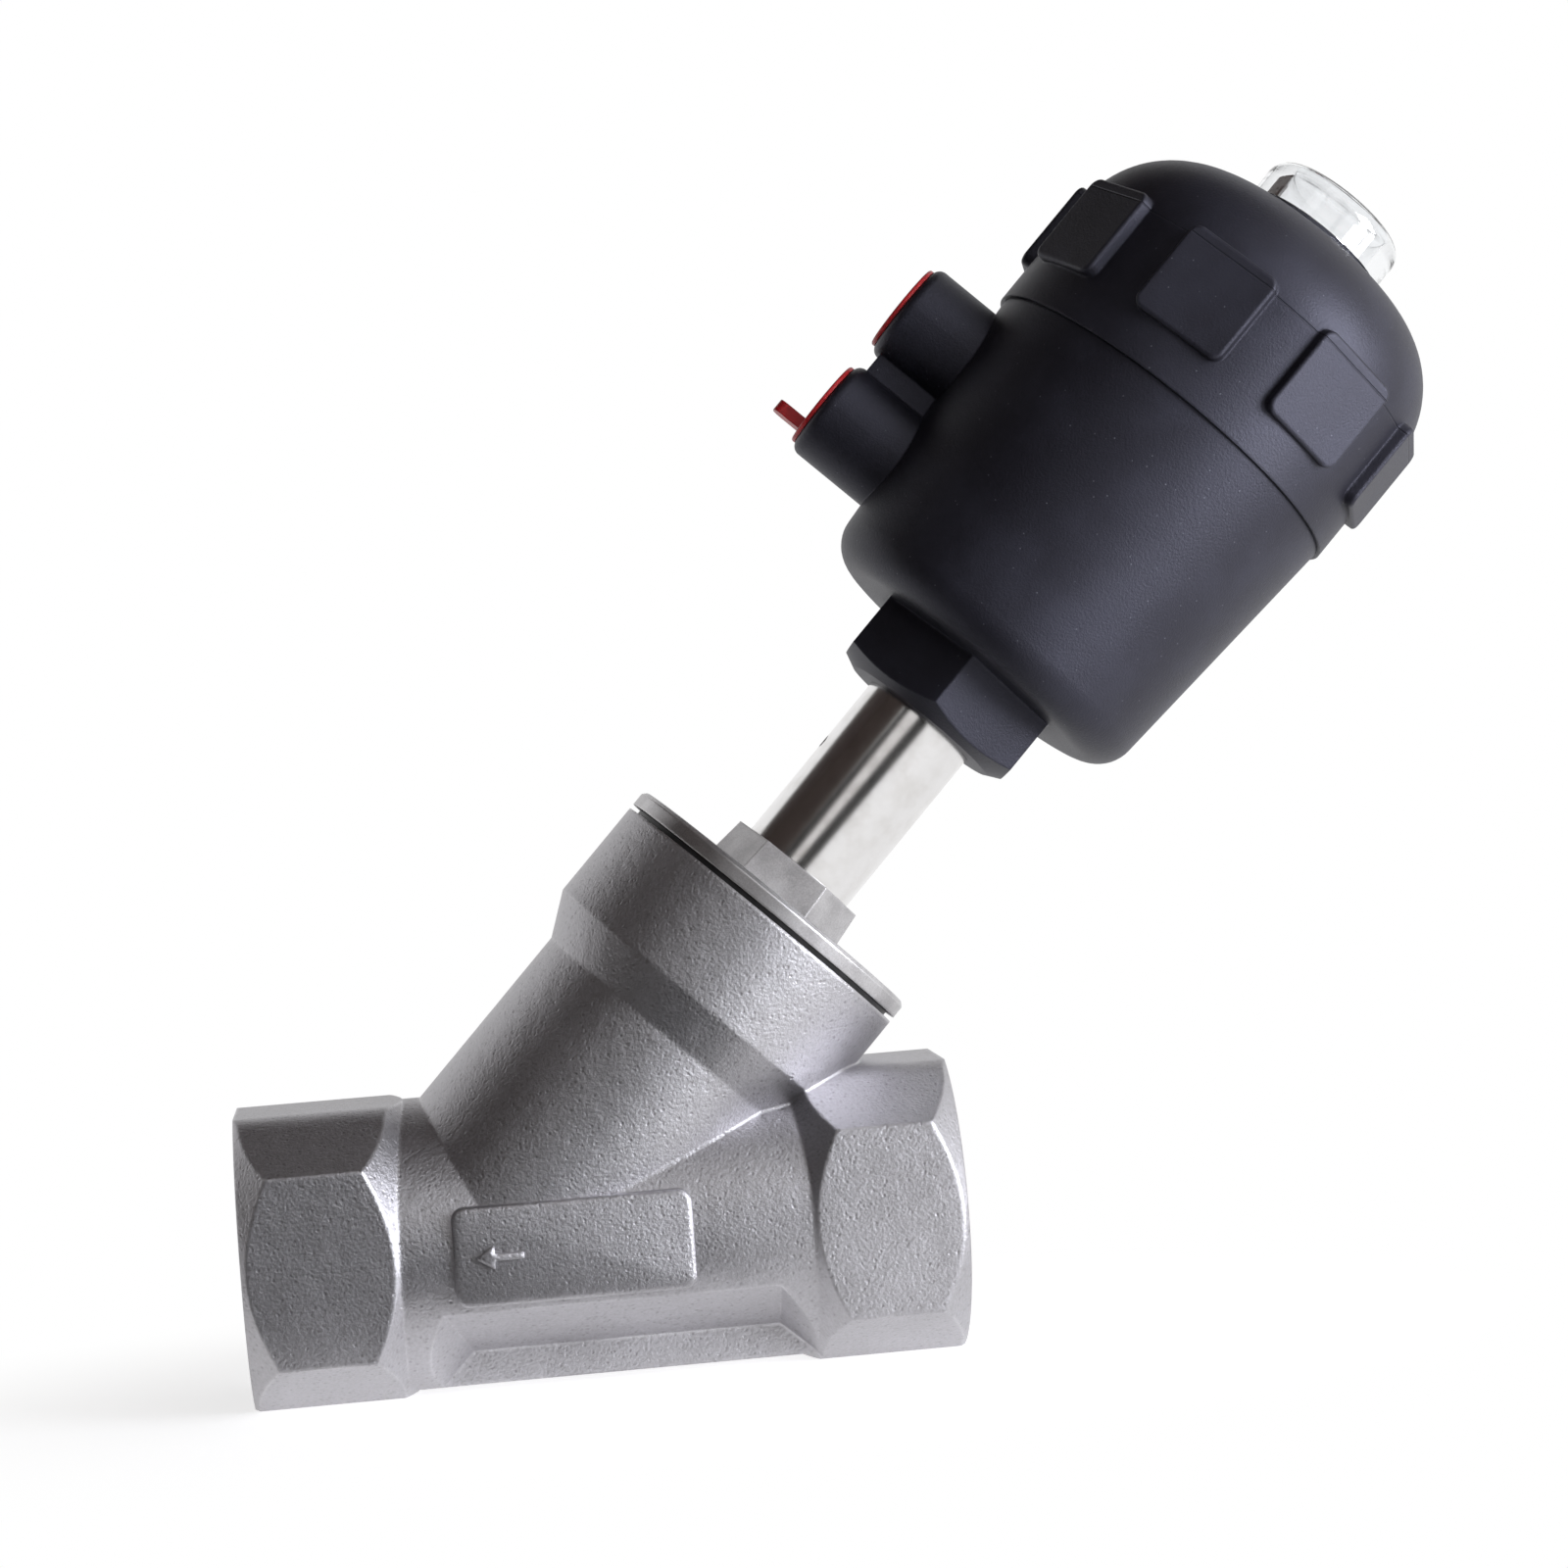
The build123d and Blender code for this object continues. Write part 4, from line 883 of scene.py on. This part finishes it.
@dataclass
class Actuator(Dressing):
    """Housing, cover, spring and O-rings, with the air ports' threads."""

    nodes: tuple[str, ...] = ("actuator_housing", "cover", "return_spring", "swivel_o_ring", "cover_o_ring",
                              "indicator_o_ring")
    thread_pitch: float = 0.907
    thread_depth: float = 0.3
    thread_runout: float = 0.6
    thread_mouth_step: float = 0.8

    def build(self) -> None:
        """Makes the threads of both air ports."""
        for port in ("lower_air_port", "upper_air_port"):
            PipeThread(port, "actuator", Finish.BLACK_PLASTIC, self.thread_pitch, self.thread_depth,
                       self.thread_runout, self.thread_mouth_step, around=36, rows_per_pitch=6).build()


@dataclass
class LoosePieces(Dressing):
    """The clear cap and the two air-port plugs."""

    nodes: tuple[str, ...] = ("clear_cap", "lower_port_plug", "upper_port_plug")


# ---- studio --------------------------------------------------------------------------------
def stand(thing: bpy.types.Object, place: Point, aim: Point) -> None:
    """Puts a lamp or a board in its place, facing a point and out of the camera's sight.

    Args:
        thing: The object.
        place: Where its middle goes.
        aim: The point that it faces.
    """
    thing.location = place
    thing.rotation_euler = (Vector(aim) - Vector(place)).to_track_quat("-Z", "Y").to_euler()
    thing.visible_camera = False
    bpy.context.collection.objects.link(thing)


def flat_sheet(name: str, size: float, material: bpy.types.Material) -> bpy.types.Object:
    """Makes a square sheet about the origin, left for the studio to place and link.

    Args:
        name: Its name.
        size: Length of a side in metres.
        material: Its material.

    Returns:
        The object.
    """
    mesh = bmesh.new()
    bmesh.ops.create_grid(mesh, x_segments=4, y_segments=4, size=size / 2)
    data = bpy.data.meshes.new(name)
    mesh.to_mesh(data)
    mesh.free()
    data.materials.append(material)
    return bpy.data.objects.new(name, data)


@dataclass
class SoftBox:
    """One large soft lamp."""

    name: str
    place: Point
    aim: Point
    size: tuple[float, float]
    power: float
    colour: Colour

    def build(self) -> None:
        """Hangs the lamp."""
        lamp = bpy.data.lights.new(self.name, "AREA")
        lamp.shape = "RECTANGLE"
        lamp.size, lamp.size_y = self.size
        lamp.energy = self.power
        lamp.color = self.colour
        stand(bpy.data.objects.new(self.name, lamp), self.place, self.aim)


@dataclass
class Screen:
    """A dull board near the object, which darkens what the metal reflects on that side."""

    name: str
    place: Point
    aim: Point
    size: tuple[float, float]
    tone: Colour
    blocks_light: bool = True
    weave_mm: float = 30.0

    def build(self) -> None:
        """Stands the board out of the camera's sight."""
        shader = Shader(self.name)
        weave = shader.noise(self.weave_mm, 2.0)
        shade = shader.blend(weave * 0.2, self.tone, (0.0, 0.0, 0.0))
        shader.finish(Base_Color=shade, Roughness=1.0, Specular_IOR_Level=0.0)
        board = flat_sheet(self.name, 1.0, shader.material)
        board.scale = (*self.size, 1.0)
        board.visible_shadow = self.blocks_light
        board.visible_diffuse = self.blocks_light
        stand(board, self.place, self.aim)


@dataclass
class Studio:
    """Pale floor, white surroundings, soft lamps, dull screens and the camera."""

    floor_side: float = 5.0
    floor_gap: float = 0.0001
    floor_tone: float = 0.80
    floor_lift: float = 0.68
    fibre_mm: float = 40.0
    shadow_middle: Point = (-0.0467, 0.0, 0.0)
    shadow_squeeze: Point = (0.6, 1.0, 1.0)
    shadow_fade: tuple[float, float] = (0.02, 0.075)
    room_light: float = 0.45
    lamps: tuple[SoftBox, ...] = (
        SoftBox("right_softbox", (0.40, -0.30, 0.0), (-0.02, 0.0, 0.03), (0.26, 0.5), 5.2, (0.9, 0.93, 1.0)),
        SoftBox("low_softbox", (0.22, -0.16, 0.01), (0.02, 0.0, 0.05), (0.12, 0.05), 0.24, (0.93, 0.95, 1.0)),
        SoftBox("front_fill", (-0.05, -0.95, 0.45), (-0.03, 0.0, 0.05), (0.6, 0.4), 0.6, (1.0, 0.98, 0.97)),
    )
    screens: tuple[Screen, ...] = (
        Screen("left_screen", (-0.75, -0.25, 0.30), (-0.03, 0.0, 0.05), (1.1, 1.1), (0.11, 0.085, 0.075)),
        Screen("top_screen", (-0.15, 0.10, 0.85), (-0.03, 0.0, 0.05), (1.5, 1.3), (0.15, 0.12, 0.11)),
        Screen("low_screen", (-0.25, -0.265, -0.0176), (-0.25, -0.265, 1.0), (0.46, 0.46),
               (0.13, 0.125, 0.125), blocks_light=False),
        Screen("front_screen", (-0.25, -1.15, 0.15), (-0.03, 0.0, 0.05), (1.4, 1.4), (0.07, 0.067, 0.066)),
    )
    camera_place: Point = (-0.06785, -0.4971, 0.06746)
    camera_yaw: float = 0.102
    camera_pitch: float = -0.026
    camera_roll: float = -0.076
    lens: float = 89.3

    def floor(self) -> None:
        """Lays the floor under the ports."""
        sheet = flat_sheet("floor", self.floor_side, self.floor_material())
        sheet.location.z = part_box("valve_body")[0].z - self.floor_gap
        bpy.context.collection.objects.link(sheet)

    def floor_material(self) -> bpy.types.Material:
        """Makes a pale floor that fades to white around the object and keeps its shadow."""
        shader = Shader("floor")
        fibre = shader.noise(self.fibre_mm, 2.0)
        tone = shader.blend(fibre * 0.06, (self.floor_tone,) * 3, (self.floor_tone * 0.96,) * 3)
        shader.finish(Base_Color=tone, Roughness=0.9, Specular_IOR_Level=0.0)
        white = shader.light("ShaderNodeEmission", 1.0)
        lift = shader.light("ShaderNodeEmission", self.floor_lift)
        lit = shader.node("ShaderNodeAddShader", None, {0: shader.skin, 1: lift})
        squeezed = shader.node("ShaderNodeVectorMath", {"operation": "MULTIPLY"},
                               {0: shader.from_point(self.shadow_middle), 1: self.shadow_squeeze}, "Vector")
        shown = shader.choose(shader.length(squeezed).step_up(*self.shadow_fade), lit, white)
        shader.surface(shader.choose(shader.seen(), shader.skin, shown))
        return shader.material

    def world(self) -> None:
        """Makes surroundings that are white to the eye, to metal and to glass, and a soft light."""
        world = bpy.data.worlds.new("studio")
        bpy.context.scene.world = world
        world.use_nodes = True
        tree = Tree(world.node_tree, "ShaderNodeOutputWorld")
        room = tree.light("ShaderNodeBackground", self.room_light)
        white = tree.light("ShaderNodeBackground", 1.0)
        tree.surface(tree.choose(tree.seen(), room, white))

    def camera(self) -> None:
        """Sets the camera where the valve is seen almost square on, from a little left of its middle."""
        yaw, pitch, roll = self.camera_yaw, self.camera_pitch, self.camera_roll
        ahead = Vector((math.sin(yaw) * math.cos(pitch), math.cos(yaw) * math.cos(pitch), math.sin(pitch)))
        level = Vector((math.cos(yaw), -math.sin(yaw), 0.0))
        upward = level.cross(ahead)
        right = level * math.cos(roll) + upward * math.sin(roll)
        up = upward * math.cos(roll) - level * math.sin(roll)
        data = bpy.data.cameras.new("camera")
        data.sensor_width = 36.0
        data.lens = self.lens
        data.clip_start = 0.01
        made = bpy.data.objects.new("camera", data)
        turn = Matrix((right, up, -ahead)).transposed().to_4x4()
        made.matrix_world = Matrix.Translation(self.camera_place) @ turn
        bpy.context.collection.objects.link(made)
        bpy.context.scene.camera = made

    def build(self) -> None:
        """Sets up the whole studio."""
        self.floor()
        self.world()
        for item in (*self.lamps, *self.screens):
            item.build()
        self.camera()
        bpy.context.scene.view_settings.view_transform = "Standard"


def main() -> None:
    """Builds and dresses the sub-assemblies in order."""
    logging.basicConfig(level=logging.INFO, format="%(name)s %(message)s")
    for group in (PipeBody(), BonnetGroup(), StemTrain(), Actuator(), LoosePieces()):
        group.dress()
        group.build()
    Studio().build()


if __name__ == "__main__":
    main()
